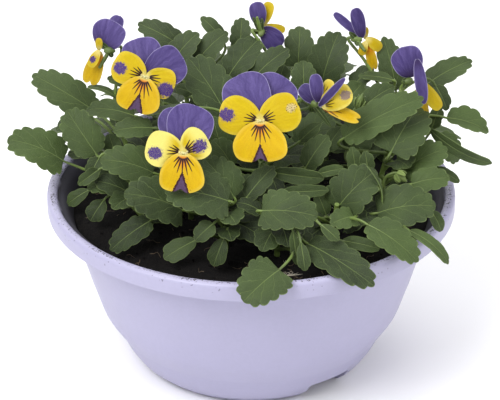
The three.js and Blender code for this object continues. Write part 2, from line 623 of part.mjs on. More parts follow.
/**
 * Blooms: stem, throat on the sheet with its depth, where it faces as degrees right of the front and degrees
 * up, its roll, and its petals. A bloom that turns away has its petals set out on the sheet, as rows of
 * colour, outline, base, tip, width, turn, arch and fold, and so are its crook, spur and sepals.
 */
const BLOOMS = {
  left: {
    stem: 'left', throat: [100, 49, 12], facing: [-98, 5], roll: 0,
    crook: [121, 47, 20], spur: [99, 68, 10], sepals: [[112, 57, 12], [97, 40, 12]],
    seen: [
      ['violet', 'petal', [103, 49, 13], [114, 21, 15], 18.5, 0, 2, 4],
      ['violet', 'petal', [104, 46, 16], [120, 16, 22], 9, 0, 1, 0],
      ['yellow', 'petal', [99, 50, 11], [99, 38, 9], 4, 0, 0.5, 0],
      ['yellow', 'petal', [99, 50, 10], [90, 67, 7], 5.5, 0, 1, 0],
      ['yellow', 'lip', [100, 51, 12], [89, 84, 12], 10.5, 0, 1, 0],
    ],
  },
  upper_left: {
    stem: 'mid_left', throat: [145, 77, -10], facing: [-4, 24], roll: -14, petals: OPEN_RIGHT_FIRST,
  },
  front: { stem: 'front_left', throat: [183, 153, -62], facing: [8, 24], roll: -2, petals: NARROW },
  centre: { stem: 'centre', throat: [260, 121, -46], facing: [-1, 24], roll: 1, petals: OPEN },
  half_open: {
    stem: 'centre', throat: [321, 104, -25], facing: [55, 12], roll: 0,
    crook: [308, 108, -20], spur: [309, 98, -18], sepals: [[331, 127, -22], [311, 112, -18], [314, 92, -18]],
    seen: [
      ['violet', 'petal', [317, 103, -22], [301, 86, -18], 8.8, 0, 1.5, 8],
      ['violet', 'petal', [318, 102, -24], [315, 74, -20], 7.5, 0, 1.5, 8],
      ['violet', 'strap', [319, 106, -25], [345, 78, -33], 4.2, 0, 1, 8],
      ['yellow', 'petal', [321, 101, -24], [331, 80, -18], 6.5, 0, 1, 0],
      ['yellow', 'petal', [322, 106, -26], [351, 90, -29], 13.5, 0, 2, 6],
      ['yellow', 'lip', [322, 106, -25], [360, 120, -32], 7, 0, 2, 6],
    ],
  },
  top: {
    stem: 'centre_back', throat: [262, 26, 44], facing: [172, 20], roll: 0,
    crook: [252, 30, 36], spur: [257, 17, 37], sepals: [[251, 31, 39], [253, 17, 39], [262, 18, 40]],
    seen: [
      ['violet', 'petal', [260, 26, 42], [256, 2, 44], 9.6, 0, 1, 0],
      ['violet', 'petal', [262, 28, 42], [280, 47, 40], 12.5, 0, 1.5, 0],
      ['yellow', 'petal', [263, 25, 44], [270, 2, 47], 7, 0, 1, 0],
      ['yellow', 'petal', [263, 26, 44.4], [285, 30, 48], 5, 0, 1, 0],
      ['yellow', 'lip', [262, 25, 44.6], [258, 8, 52], 10, 0, 1, 0],
    ],
  },
  top_right: {
    stem: 'right_back', throat: [366, 38, 30], facing: [96, 5], roll: 0,
    crook: [348, 38, 30], spur: [365, 51, 22], sepals: [[349, 32, 28], [357, 46, 25]],
    seen: [
      ['violet', 'petal', [361, 37, 32], [334, 13, 36], 5, 0, 1, 0],
      ['violet', 'petal', [362, 38, 29], [355, 8, 28], 8, 0, 1, 6],
      ['yellow', 'petal', [365, 39, 31], [366, 27, 33], 3.5, 0, 0.5, 0],
      ['yellow', 'petal', [366, 38, 29], [381, 49, 30], 6.5, 0, 1, 0],
      ['yellow', 'petal', [366, 41, 28], [361, 55, 26], 5, 0, 1, 0],
      ['yellow', 'lip', [367, 40, 29], [374, 70, 27], 6, 0, 1, 0],
    ],
  },
  right: {
    stem: 'right', throat: [417, 80, 0], facing: [98, 5], roll: 0,
    crook: [401, 88, 2], spur: [405, 74, 4], sepals: [[402, 80, -2], [404, 88, -2]],
    seen: [
      ['violet', 'petal', [412, 77, 1], [403, 47, 4], 17.5, 0, 2, 4],
      ['violet', 'strap', [413, 80, -2], [425, 103, -4.5], 5.2, 0, 1, 0],
      ['violet', 'strap', [413, 80, -2], [418, 60, -3], 5.2, 0, 1, 0],
      ['yellow', 'petal', [418, 80, 1], [440, 109, 2], 8, 0, 1, 0],
      ['yellow', 'lip', [418, 82, 1], [425, 122, 4], 6.5, 0, 1, 0],
      ['yellow', 'petal', [418, 79, 2], [421, 68, 8], 4, 0, 1, 0],
    ],
  },
};

/** Buds: stem, the way of the stalk on the sheet, and the bud's base, tip and radius. */
const BUDS = [
  ['right', [[382, 190, -30], [386, 177, -31]], [396, 173, -32], [407, 182, -34], 2.3],
  ['right_back', [[352, 116, -2], [356, 108, -2]], [357, 108, -2], [363, 93, 0], 2],
];

/** Works out a bloom's place and its three directions: front, right and up. */
function bloomFrame({ throat, facing: [bearingRight, lift], roll }) {
  const [turn, tilt] = [bearingRight, lift].map(THREE.MathUtils.degToRad);
  const level = new THREE.Vector3(Math.sin(turn), -Math.cos(turn), 0);
  const front = level.multiplyScalar(Math.cos(tilt)).addScaledVector(UP, Math.sin(tilt));
  const right = new THREE.Vector3(Math.cos(turn), Math.sin(turn), 0);
  right.applyAxisAngle(front, THREE.MathUtils.degToRad(roll));
  return { at: onSheet(throat), front, right, up: new THREE.Vector3().crossVectors(front, right) };
}

/** Makes a short round hub on a bloom's axis, between two distances behind the throat. */
function hub({ at, front }, radiusAhead, radiusBehind, ahead, behind) {
  const drum = new THREE.CylinderGeometry(radiusAhead, radiusBehind, behind - ahead, HUB_SIDES);
  drum.applyQuaternion(new THREE.Quaternion().setFromUnitVectors(new THREE.Vector3(0, 1, 0), front));
  const middle = at.clone().addScaledVector(front, -(ahead + behind) / 2);
  return solid(drum.translate(middle.x, middle.y, middle.z));
}

/** Gives the direction across a bloom that stands at an angle, in degrees from the bloom's right. */
function aroundThroat({ right, up }, angle) {
  const round = THREE.MathUtils.degToRad(angle);
  return right.clone().multiplyScalar(Math.cos(round)).addScaledVector(up, Math.sin(round));
}

/** Reads a row of petals that stand round the throat of an open bloom. */
function readPetal(row, frame, setback) {
  const [, kind, angle, length, width, tilt, arch, fold, behind] = row;
  const { at, front } = frame;
  const lean = THREE.MathUtils.degToRad(tilt);
  const base = at.clone().addScaledVector(front, -setback - FIRST_PETAL_BACK - behind - PETAL / 2);
  const out = aroundThroat(frame, angle);
  const reach = out.multiplyScalar(Math.cos(lean)).addScaledVector(front, Math.sin(lean));
  const tip = base.clone().addScaledVector(reach, length);
  return { kind, base, tip, face: front, width, arch, fold, teeth: 3 };
}

/** Reads a row of petals that are set out on the sheet. */
function readSeenPetal([, kind, base, tip, width, turn, arch, fold]) {
  const from = onSheet(base);
  const to = onSheet(tip);
  const axis = to.clone().sub(from).normalize();
  const face = VIEWER.clone().applyAxisAngle(axis, THREE.MathUtils.degToRad(turn));
  return { kind, base: from, tip: to, face, width, arch, fold, teeth: width > 12 ? 3 : 2 };
}

/** Makes a bloom's petals of one colour, joined at the throat, and grown all round by a margin. */
function corolla(bloom, colour, margin = 0) {
  const frame = bloomFrame(bloom);
  const setback = colour === 'violet' ? VIOLET_SETBACK : YELLOW_SETBACK;
  const radius = HUB_RADIUS + margin;
  const pieces = [hub(frame, radius, radius, setback - margin, setback + HUB_THICKNESS + margin)];
  const rows = (bloom.petals ?? bloom.seen).filter(([owner]) => owner === colour);
  const petals = rows.map((row) => (bloom.petals ? readPetal(row, frame, setback) : readSeenPetal(row)));
  for (const { base, tip, width, ...form } of petals) {
    const reach = tip.clone().sub(base).setLength(margin);
    pieces.push(solid(blade({
      ...form,
      base: base.sub(reach),
      tip: tip.add(reach),
      width: width + 2 * margin,
      thickness: PETAL + 2 * margin,
    })));
  }
  return join(pieces);
}

/** Keeps the largest of the bodies that a solid falls into. */
function largest(body) {
  return body.decompose().reduce((best, piece) => (piece.volume() > best.volume() ? piece : best));
}

/** Makes a bloom's violet petals, trimmed clear of the yellow ones. */
function violetPetals(bloom) {
  return largest(corolla(bloom, 'violet').subtract(corolla(bloom, 'yellow', GAP)));
}

/** Works out where the green parts of a bloom reach: its crook, the spur's tip and the sepals' tips. */
function greenPlaces(bloom, frame) {
  const { at, front, up } = frame;
  const centre = at.clone().addScaledVector(front, -CALYX_SETBACK - CALYX_LENGTH * 0.35);
  if (bloom.seen) {
    const sepals = bloom.sepals.map(onSheet);
    return { centre, crook: onSheet(bloom.crook), spur: onSheet(bloom.spur), sepals };
  }
  const sepals = Array.from({ length: SEPAL_COUNT }, (_, i) => {
    const out = aroundThroat(frame, 90 + (i * 360) / SEPAL_COUNT);
    return centre.clone().addScaledVector(out, SEPAL_OUT).addScaledVector(front, -SEPAL_BACK);
  });
  const spur = centre.clone().addScaledVector(front, -SPUR_BACK).addScaledVector(up, SPUR_RISE);
  const crook = centre.clone().addScaledVector(front, -CROOK_BACK).addScaledVector(UP, -CROOK_DROP);
  return { centre, crook, spur, sepals };
}

/** Makes a flat pointed sepal from a place to its tip. */
function sepal(from, tip, face) {
  const reach = tip.clone().sub(from);
  const spike = new THREE.ConeGeometry(1, reach.length(), 3).scale(1.8, 1, 0.8);
  spike.translate(0, reach.length() / 2, 0);
  reach.normalize();
  const side = new THREE.Vector3().crossVectors(reach, face).normalize();
  const basis = new THREE.Matrix4().makeBasis(side, reach, new THREE.Vector3().crossVectors(side, reach));
  return solid(spike.applyMatrix4(basis).translate(from.x, from.y, from.z));
}

/** Makes a calyx as one star: two low pyramids whose shared rim runs out to the tips of the sepals. */
function star({ at, front }, tips) {
  const peak = at.clone().addScaledVector(front, -CALYX_SETBACK);
  const back = peak.clone().addScaledVector(front, -CALYX_LENGTH);
  const points = [peak, back];
  const centre = peak.clone().lerp(back, 0.4);
  tips.forEach((tip, i) => {
    const between = tip.clone().lerp(tips[(i + 1) % tips.length], 0.5).sub(centre).setLength(CALYX_RADIUS);
    points.push(tip, between.add(centre));
  });
  const rim = 2 * tips.length;
  const faces = Array.from({ length: rim }, (_, i) => {
    const [a, b] = [2 + i, 2 + ((i + 1) % rim)];
    return [0, a, b, 1, b, a];
  });
  const body = new THREE.BufferGeometry().setFromPoints(points);
  body.setIndex(faces.flat());
  return solid(body);
}

/** Makes the green parts that carry a bloom, trimmed clear of its petals: stalk, calyx, sepals and spur. */
function calyxOn(curve, bloom) {
  const frame = bloomFrame(bloom);
  const { centre, crook, spur, sepals } = greenPlaces(bloom, frame);
  const pieces = [solid(bar([centre, centre.clone().lerp(spur, 0.5), spur], SPUR_RADIUS, 4, 1))];
  if (bloom.seen) {
    pieces.push(hub(frame, CALYX_RADIUS, CALYX_RADIUS * 0.6, CALYX_SETBACK, CALYX_SETBACK + CALYX_LENGTH));
    pieces.push(...sepals.map((tip) => sepal(centre, tip, frame.front)));
  } else {
    pieces.push(star(frame, sepals));
  }
  const root = onStem(curve, curve.getPoint(1).z - 4);
  const knee = root.clone().lerp(crook, 0.55);
  knee.z += 2;
  pieces.push(solid(bar([root, knee, crook, centre], STALK_RADIUS, 4, 3)));
  const green = join(pieces);
  if (!bloom.seen) {
    return green;
  }
  return largest(green.subtract(corolla(bloom, 'violet', GAP)).subtract(corolla(bloom, 'yellow', GAP)));
}

/** Makes a bud with its stalk. */
function budOn(curve, [, way, base, tip, radius]) {
  const [from, to] = [onSheet(base), onSheet(tip)];
  const reach = to.clone().sub(from);
  const length = reach.length();
  const outline = [[0, 0], [0.8, 0.2], [1, 0.5], [0.5, 0.85], [0, 1]];
  const body = turned(outline.map(([across, along]) => [across * radius, along * length]), HUB_SIDES);
  body.applyQuaternion(new THREE.Quaternion().setFromUnitVectors(UP, reach.normalize()));
  body.translate(from.x, from.y, from.z);
  const inside = from.clone().lerp(to, 0.3);
  const root = onStem(curve, onSheet(way[0]).z - 8);
  return join([solid(body), solid(bar([root, ...way.map(onSheet), from, inside], STALK_RADIUS * 0.9, 4, 4))]);
}

// ---------------------------------------------------------------------------------------------------------
// Assembly
// ---------------------------------------------------------------------------------------------------------

const violet = new THREE.Group();
violet.add(part('bowl', buildBowl(), lilacPlastic()));
violet.add(part('soil', buildSoil(STEMS), peat()));
const leaves = [...LEAVES.map(readLeaf), ...backLeaves()];
for (const [name, stem] of Object.entries(STEMS)) {
  const curve = stemCurve(stem);
  const pieces = [solid(bar(curve.getPoints(STEM_STEPS), STEM_RADIUS, STEM_SIDES, STEM_STEPS))];
  for (const leaf of leaves.filter(({ stem: owner }) => owner === name)) {
    pieces.push(leafOn(curve, leaf));
  }
  for (const bloom of Object.values(BLOOMS).filter(({ stem: owner }) => owner === name)) {
    pieces.push(calyxOn(curve, bloom));
  }
  for (const bud of BUDS.filter(([owner]) => owner === name)) {
    pieces.push(budOn(curve, bud));
  }
  violet.add(part(`stem_${name}`, join(pieces), leafGreen()));
}
for (const [name, bloom] of Object.entries(BLOOMS)) {
  violet.add(part(`bloom_${name}_violet`, violetPetals(bloom), petalViolet()));
  violet.add(part(`bloom_${name}_yellow`, corolla(bloom, 'yellow'), petalYellow()));
}

export default violet;
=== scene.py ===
"""Potted horned violet: fine meshes and finishes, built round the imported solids.

Blender works in metres. The tables use the millimetres and the drawing sheet of the solids' source: +X is
right, -Y is the front and +Z is up, and the origin is under the middle of the bowl.
"""

from __future__ import annotations

import logging
import math
import random
from collections.abc import Callable, Iterable, Sequence
from dataclasses import dataclass, field
from enum import Enum, StrEnum

import bpy
import numpy as np
from mathutils import Matrix, Quaternion, Vector, noise

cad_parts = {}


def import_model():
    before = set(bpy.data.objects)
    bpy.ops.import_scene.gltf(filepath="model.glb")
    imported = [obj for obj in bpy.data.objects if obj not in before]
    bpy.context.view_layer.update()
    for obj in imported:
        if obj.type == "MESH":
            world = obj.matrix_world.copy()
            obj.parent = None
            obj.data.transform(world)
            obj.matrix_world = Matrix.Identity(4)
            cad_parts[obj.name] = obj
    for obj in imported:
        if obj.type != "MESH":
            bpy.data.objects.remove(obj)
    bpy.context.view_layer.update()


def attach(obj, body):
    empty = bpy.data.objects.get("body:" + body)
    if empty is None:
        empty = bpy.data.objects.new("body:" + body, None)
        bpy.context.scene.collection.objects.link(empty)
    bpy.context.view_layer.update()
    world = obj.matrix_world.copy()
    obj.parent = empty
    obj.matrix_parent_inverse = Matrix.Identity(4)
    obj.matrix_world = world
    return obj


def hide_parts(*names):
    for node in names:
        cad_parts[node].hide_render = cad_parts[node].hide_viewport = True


LOG = logging.getLogger("violet")
MM = 0.001
UP = Vector((0.0, 0.0, 1.0))
FRONT_FACE = Vector((0.0, -0.6, 0.8))

Pair = tuple[float, float]
Profile = tuple[Pair, ...]
Spot = tuple[float, float, float]
Colour = tuple[float, float, float, float]
ORIGIN: Spot = (0.0, 0.0, 0.0)
WHITE: Colour = (1.0, 1.0, 1.0, 1.0)

Piece = bpy.types.Object
Material = bpy.types.Material
NodeTree = bpy.types.NodeTree
Socket = bpy.types.NodeSocket
Dyes = dict[str, Material]


# ---- The drawing sheet and other measures ----------------------------------------------------------------


@dataclass(frozen=True)
class Sheet:
    """The drawing sheet, 500 by 400 units, that leaves and blooms are set out on."""

    tilt: float = math.radians(27.15)
    distance: float = 1200.0
    scale: float = 2127.0
    middle_u: float = 251.2
    middle_v: float = 184.8
    height: float = 104.0

    @property
    def eye(self) -> Vector:
        """The point that the sheet is seen from, in millimetres."""
        back, rise = self.distance * math.cos(self.tilt), self.distance * math.sin(self.tilt)
        return Vector((0.0, -back, rise + self.height))

    @property
    def towards(self) -> Vector:
        """The direction from the plant to the eye."""
        return Vector((0.0, -math.cos(self.tilt), math.sin(self.tilt)))

    def place(self, spot: Spot) -> Vector:
        """Gives the point, in millimetres, that a place on the sheet stands for.

        Args:
            spot: Units to the right, units down and depth along +Y in millimetres.

        Returns:
            The point in the part's frame.
        """
        u, v, depth = spot
        right, rise = (u - self.middle_u) / self.scale, (self.middle_v - v) / self.scale
        sin, cos = math.sin(self.tilt), math.cos(self.tilt)
        ray = Vector((right, cos + rise * sin, rise * cos - sin))
        return self.eye + ray * ((depth - self.eye.y) / ray.y)


SHEET = Sheet()


def linear(red: float, green: float, blue: float) -> Colour:
    """Turns a screen colour into a shader colour.

    Args:
        red: Red, 0 to 255.
        green: Green.
        blue: Blue.

    Returns:
        The colour with an alpha of 1.
    """
    shares = [value / 255.0 for value in (red, green, blue)]
    bent = [share / 12.92 if share <= 0.04045 else ((share + 0.055) / 1.055) ** 2.4 for share in shares]
    return (bent[0], bent[1], bent[2], 1.0)


def bearing(degrees: float) -> Vector:
    """Gives the unit vector in plan at an angle from +X."""
    return Vector((math.cos(math.radians(degrees)), math.sin(math.radians(degrees)), 0.0))


def smoothstep(low: float, high: float, value: np.ndarray) -> np.ndarray:
    """Rises softly from 0 at low to 1 at high."""
    share = np.clip((value - low) / (high - low), 0.0, 1.0)
    return share * share * (3.0 - 2.0 * share)


def flowing(points: Sequence[Vector], share: float) -> Vector:
    """Gives the point at a share of the smooth curve through a list of points.

    Args:
        points: The points, two or more.
        share: From 0 at the first point to 1 at the last.

    Returns:
        The point on the curve.
    """
    last = len(points) - 1
    step = min(int(share * last), last - 1)
    part = share * last - step
    start, end = points[step], points[step + 1]
    before = points[step - 1] if step > 0 else 2 * points[0] - points[1]
    after = points[step + 2] if step + 2 <= last else 2 * points[last] - points[last - 1]
    gaps = [max((b - a).length, 1e-6) ** 0.5 for a, b in ((before, start), (start, end), (end, after))]
    run = gaps[1]
    leave = (start - before) / gaps[0] - (end - before) / (gaps[0] + run) + (end - start) / run
    arrive = (end - start) / run - (after - start) / (run + gaps[2]) + (after - end) / gaps[2]
    leave, arrive = leave * run, arrive * run
    square = part * part
    return (
        start
        + leave * part
        + (3 * (end - start) - 2 * leave - arrive) * square
        + (2 * (start - end) + leave + arrive) * square * part
    )


def seeded(seed: int) -> Callable[[], float]:
    """Makes a generator of random numbers between -1 and 1, the same as in the solids' source.

    Args:
        seed: What the numbers start from.

    Returns:
        A function that gives the next number.
    """
    state = [seed]

    def draw() -> float:
        """Gives the next number."""
        state[0] = state[0] * 16807 % 2147483647
        return 2 * state[0] / 2147483647 - 1

    return draw


# ---- Mesh tools ------------------------------------------------------------------------------------------


def only(*pieces: Piece) -> None:
    """Selects these pieces alone and makes the first one active.

    Args:
        pieces: The pieces.
    """
    bpy.ops.object.select_all(action="DESELECT")
    for piece in pieces:
        piece.select_set(True)
    bpy.context.view_layer.objects.active = pieces[0]


def named(name: str) -> Piece:
    """Names the active object and its mesh.

    Args:
        name: The name.

    Returns:
        The object.
    """
    piece = bpy.context.object
    piece.name = piece.data.name = name
    return piece


def joined(name: str, pieces: Sequence[Piece]) -> Piece:
    """Joins pieces into one named piece.

    Args:
        name: The piece's name.
        pieces: The pieces to join.

    Returns:
        The piece.
    """
    only(*pieces)
    if len(pieces) > 1:
        bpy.ops.object.join()
    return named(name)


def copied(piece: Piece) -> Piece:
    """Copies a piece together with its mesh.

    Args:
        piece: The piece.

    Returns:
        The copy.
    """
    twin = piece.copy()
    twin.data = piece.data.copy()
    bpy.context.collection.objects.link(twin)
    return twin


def finished_with(piece: Piece, kind: str, **settings: object) -> None:
    """Adds a modifier to a piece and applies it.

    Args:
        piece: The piece, which becomes the only one selected.
        kind: The modifier's type.
        settings: The modifier's properties.
    """
    only(piece)
    modifier = piece.modifiers.new(kind.title(), kind)
    for key, value in settings.items():
        setattr(modifier, key, value)
    bpy.ops.object.modifier_apply(modifier=modifier.name)


def sewn(piece: Piece, distance: float = 2e-6, outwards: bool = True) -> None:
    """Merges a piece's doubles, and turns its faces outwards if asked.

    Args:
        piece: The piece.
        distance: How near doubles lie, in metres.
        outwards: Whether to turn the faces.
    """
    only(piece)
    bpy.ops.object.mode_set(mode="EDIT")
    bpy.ops.mesh.select_all(action="SELECT")
    bpy.ops.mesh.remove_doubles(threshold=distance)
    if outwards:
        bpy.ops.mesh.normals_make_consistent(inside=False)
    bpy.ops.object.mode_set(mode="OBJECT")


def smoothed(piece: Piece, degrees: float) -> None:
    """Shades a piece smooth, but for edges sharper than an angle."""
    only(piece)
    bpy.ops.object.shade_smooth_by_angle(angle=math.radians(degrees))


def dressed(piece: Piece, *materials: Material) -> None:
    """Gives a piece its materials, in place of those it has.

    Args:
        piece: The piece.
        materials: Its materials.
    """
    piece.data.materials.clear()
    for material in materials:
        piece.data.materials.append(material)


def write(piece: Piece, name: str, values: np.ndarray, kind: str = "FLOAT_VECTOR") -> None:
    """Writes an attribute of a piece's points, with a row of values for each."""
    made = piece.data.attributes.new(name, kind, "POINT")
    made.data.foreach_set("vector" if kind == "FLOAT_VECTOR" else "value", values.astype(np.float32).ravel())


def points_of(piece: Piece) -> np.ndarray:
    """Reads the points of a piece's mesh.

    Args:
        piece: The piece.

    Returns:
        The points in metres, a row each.
    """
    flat = np.empty(len(piece.data.vertices) * 3)
    piece.data.vertices.foreach_get("co", flat)
    return flat.reshape(-1, 3)


def move_points(piece: Piece, places: np.ndarray) -> None:
    """Puts the points of a piece's mesh in new places."""
    piece.data.vertices.foreach_set("co", places.astype(np.float32).ravel())
    piece.data.update()


@dataclass
class Strand:
    """A round strand through points, in millimetres, with a radius at each."""

    points: list[Vector]
    radii: list[float]


def drawn_out(route: Sequence[Vector], first: float, last: float, steps: int, swell: float = 0.0) -> Strand:
    """Makes a strand along the smooth curve through a route.

    Args:
        route: The points that it passes.
        first: Radius at the start.
        last: Radius at the end.
        steps: Number of its stretches.
        swell: Extra radius half way.

    Returns:
        The strand.
    """
    shares = [i / steps for i in range(steps + 1)]
    radii = [first + (last - first) * share + swell * math.sin(math.pi * share) for share in shares]
    return Strand([flowing(route, share) for share in shares], radii)


def strands_mesh(name: str, strands: Iterable[Strand], fineness: int = 1) -> Piece:
    """Makes a piece of closed round strands.

    Args:
        name: The piece's name.
        strands: The strands.
        fineness: 0 for four sides, and two more a step.

    Returns:
        The piece.
    """
    curve = bpy.data.curves.new(name, "CURVE")
    curve.dimensions = "3D"
    curve.bevel_depth = MM
    curve.bevel_resolution = fineness
    curve.use_fill_caps = True
    for strand in strands:
        spline = curve.splines.new("POLY")
        spline.points.add(len(strand.points) - 1)
        for knot, place, radius in zip(spline.points, strand.points, strand.radii):
            knot.co = (*(place * MM), 1.0)
            knot.radius = radius
    drawn = bpy.data.objects.new(name, curve)
    bpy.context.collection.objects.link(drawn)
    only(drawn)
    bpy.ops.object.convert(target="MESH")
    piece = named(name)
    sewn(piece)
    smoothed(piece, 60)
    return piece


def spun(name: str, profile: Sequence[Pair], steps: int) -> Piece:
    """Spins a profile of [radius, height], in millimetres, round the upright axis into a closed piece.

    Args:
        name: The piece's name.
        profile: The points, from one end on the axis to the other.
        steps: Number of steps in a turn.

    Returns:
        The piece.
    """
    bpy.ops.object.select_all(action="DESELECT")
    bpy.ops.mesh.primitive_plane_add(size=MM)
    piece = named(name)
    bpy.ops.object.mode_set(mode="EDIT")
    bpy.ops.mesh.select_all(action="SELECT")
    bpy.ops.mesh.merge(type="CENTER")
    for _ in profile[1:]:
        bpy.ops.mesh.extrude_vertices_move(TRANSFORM_OT_translate={"value": (MM, 0.0, 0.0)})
    bpy.ops.object.mode_set(mode="OBJECT")
    move_points(piece, np.array([(radius * MM, 0.0, height * MM) for radius, height in profile]))
    bpy.ops.object.mode_set(mode="EDIT")
    bpy.ops.mesh.select_all(action="SELECT")
    bpy.ops.mesh.spin(steps=steps, angle=2 * math.pi, center=(0.0, 0.0, 0.0), axis=(0.0, 0.0, 1.0))
    bpy.ops.object.mode_set(mode="OBJECT")
    sewn(piece)
    return piece


# ---- Shader tools ----------------------------------------------------------------------------------------


class Value:
    """What a node puts out: it can be added, subtracted, multiplied and divided like a number."""

    def __init__(self, nodes: Nodes, socket: Socket) -> None:
        """Keeps the socket, and the nodes that sums with it add to."""
        self.nodes, self.socket = nodes, socket

    def __add__(self, other: Feed) -> Value:
        """Adds another value."""
        return self.nodes.math("ADD", self, other)

    def __sub__(self, other: Feed) -> Value:
        """Takes another value away."""
        return self.nodes.math("SUBTRACT", self, other)

    def __rsub__(self, other: float) -> Value:
        """Takes this value away from a number."""
        return self.nodes.math("SUBTRACT", other, self)

    def __mul__(self, other: Feed) -> Value:
        """Multiplies by another value."""
        return self.nodes.math("MULTIPLY", self, other)

    def __truediv__(self, other: Feed) -> Value:
        """Divides by another value."""
        return self.nodes.math("DIVIDE", self, other)

    def __abs__(self) -> Value:
        """Takes the sign off."""
        return self.nodes.math("ABSOLUTE", self)


Feed = float | tuple[float, ...] | Value
Feeds = dict[int | str, Feed] | dict[str, Feed]


class Nodes:
    """Lays out the nodes of one material or node group."""

    def __init__(self, tree: NodeTree) -> None:
        """Starts on a tree of nodes."""
        self.tree = tree

    def add(self, kind: str, feeds: Feeds | None = None, **settings: object) -> bpy.types.Node:
        """Adds a node.

        Args:
            kind: The node's type.
            feeds: What its inputs take, by name or number.
            settings: The node's properties.

        Returns:
            The node.
        """
        node = self.tree.nodes.new(kind)
        for key, value in settings.items():
            setattr(node, key, value)
        for key, value in (feeds or {}).items():
            self.feed(node.inputs[key], value)
        return node

    def feed(self, socket: Socket, value: Feed) -> None:
        """Links an input to what another node puts out, or sets it.

        Args:
            socket: The input.
            value: What it takes.
        """
        if isinstance(value, Value):
            self.tree.links.new(value.socket, socket)
        else:
            socket.default_value = value

    def value(self, kind: str, feeds: Feeds, output: int | str = 0, **settings: object) -> Value:
        """Adds a node and gives one of its outputs, the first unless another is asked for."""
        return Value(self, self.add(kind, feeds, **settings).outputs[output])

    def math(self, operation: str, *values: Feed) -> Value:
        """Works out a number from others."""
        return self.value("ShaderNodeMath", dict(enumerate(values)), operation=operation)

    def held(self, value: Feed, extra: float) -> Value:
        """Adds to a number and holds the sum between 0 and 1."""
        return self.value("ShaderNodeMath", {0: value, 1: extra}, operation="ADD", use_clamp=True)

    def step(self, value: Feed, low: Feed, high: Feed) -> Value:
        """Rises softly from 0 where value is low to 1 where it is high, or falls if low is above high."""
        feeds = {0: value, 1: low, 2: high, 3: 0.0, 4: 1.0}
        return self.value("ShaderNodeMapRange", feeds, interpolation_type="SMOOTHSTEP", clamp=True)

    def mix(self, share: Feed, first: Feed, second: Feed, blend: str = "MIX") -> Value:
        """Mixes two colours."""
        feeds = {0: share, 6: first, 7: second}
        return self.value("ShaderNodeMix", feeds, 2, data_type="RGBA", blend_type=blend)

    def layered(self, colour: Feed, *layers: tuple[Value, Feed]) -> Value:
        """Lays colours over a colour.

        Args:
            colour: The colour below.
            layers: The mask and the colour of each layer, from below.

        Returns:
            The colour that shows.
        """
        for mask, over in layers:
            colour = self.mix(mask, colour, over)
        return colour

    def noise(self, vector: Value, scale: Feed, detail: float = 2.0, rough: float = 0.5) -> Value:
        """Gives noise of about 0 to 1."""
        feeds = {"Vector": vector, "Scale": scale, "Detail": detail, "Roughness": rough}
        return self.value("ShaderNodeTexNoise", feeds)

    def parts(self, vector: Value) -> tuple[Value, ...]:
        """Splits a vector into its three numbers."""
        return tuple(Value(self, output) for output in self.add("ShaderNodeSeparateXYZ", {0: vector}).outputs)

    def vector(self, x: Feed, y: Feed, z: Feed) -> Value:
        """Joins three numbers into a vector."""
        return self.value("ShaderNodeCombineXYZ", {0: x, 1: y, 2: z})

    def place(self) -> Value:
        """Gives the place on the object, in metres."""
        return self.value("ShaderNodeTexCoord", {}, "Object")

    def attribute(self, name: str) -> Value:
        """Reads an attribute as a vector."""
        return self.value("ShaderNodeAttribute", {}, "Vector", attribute_name=name)

    def number(self, name: str) -> Value:
        """Reads an attribute as a number."""
        return self.value("ShaderNodeAttribute", {}, "Fac", attribute_name=name)

    def bump(self, height: Value, distance: float) -> Value:
        """Turns a height into a normal."""
        return self.value("ShaderNodeBump", {"Height": height, "Distance": distance, "Strength": 1.0})

    def use(self, effect: NodeTree, **feeds: Feed) -> dict[str, Value]:
        """Places a node group, and gives what it puts out by name."""
        outputs = self.add("ShaderNodeGroup", feeds, node_tree=effect).outputs
        return {output.name: Value(self, output) for output in outputs}

    def shade(self, **feeds: Feed) -> None:
        """Feeds the material's shader.

        Args:
            feeds: What its inputs take, by name, with underscores for spaces.
        """
        shader = self.tree.nodes["Principled BSDF"]
        for key, value in feeds.items():
            self.feed(shader.inputs[key.replace("_", " ")], value)


def new_effect(name: str, inputs: Feeds, outputs: dict[str, str]) -> tuple[NodeTree, Nodes, list[Value]]:
    """Makes a shader node group with its inputs.

    Args:
        name: The group's name.
        inputs: The default of each input: a number, a colour of four numbers or a vector of three.
        outputs: The socket type of each output.

    Returns:
        The group, its nodes and what each input brings in.
    """
    tree = bpy.data.node_groups.new(name, "ShaderNodeTree")
    kinds = {4: "NodeSocketColor", 3: "NodeSocketVector"}
    for title, default in inputs.items():
        kind = kinds[len(default)] if isinstance(default, tuple) else "NodeSocketFloat"
        tree.interface.new_socket(title, in_out="INPUT", socket_type=kind).default_value = default
    for title, kind in outputs.items():
        tree.interface.new_socket(title, in_out="OUTPUT", socket_type=kind)
    nodes = Nodes(tree)
    given = nodes.add("NodeGroupInput").outputs
    return tree, nodes, [Value(nodes, given[title]) for title in inputs]


def once(maker: Callable[[], NodeTree]) -> Callable[[], NodeTree]:
    """Keeps what a maker of a node group returns, so that the group is made once.

    Args:
        maker: The maker.

    Returns:
        A function that gives the group.
    """
    made: list[NodeTree] = []

    def give() -> NodeTree:
        """Gives the group, making it the first time.

        Returns:
            The group.
        """
        if not made:
            made.append(maker())
        return made[0]

    return give


# ---- Effects that several finishes share -----------------------------------------------------------------


@once
def mottle() -> NodeTree:
    """Makes the effect of soft darker patches in a colour.

    Returns:
        The node group.
    """
    inputs = {"Place": ORIGIN, "Scale": 100.0, "Depth": 0.2, "Colour": WHITE}
    tree, nodes, (place, scale, depth, colour) = new_effect("Mottle", inputs, {"Colour": "NodeSocketColor"})
    tone = nodes.step(nodes.noise(place, scale, 4.0, 0.6), 0.3, 0.7)
    share = tone * depth + (1.0 - depth)
    nodes.add("NodeGroupOutput", {"Colour": nodes.mix(1.0, colour, share, "MULTIPLY")})
    return tree


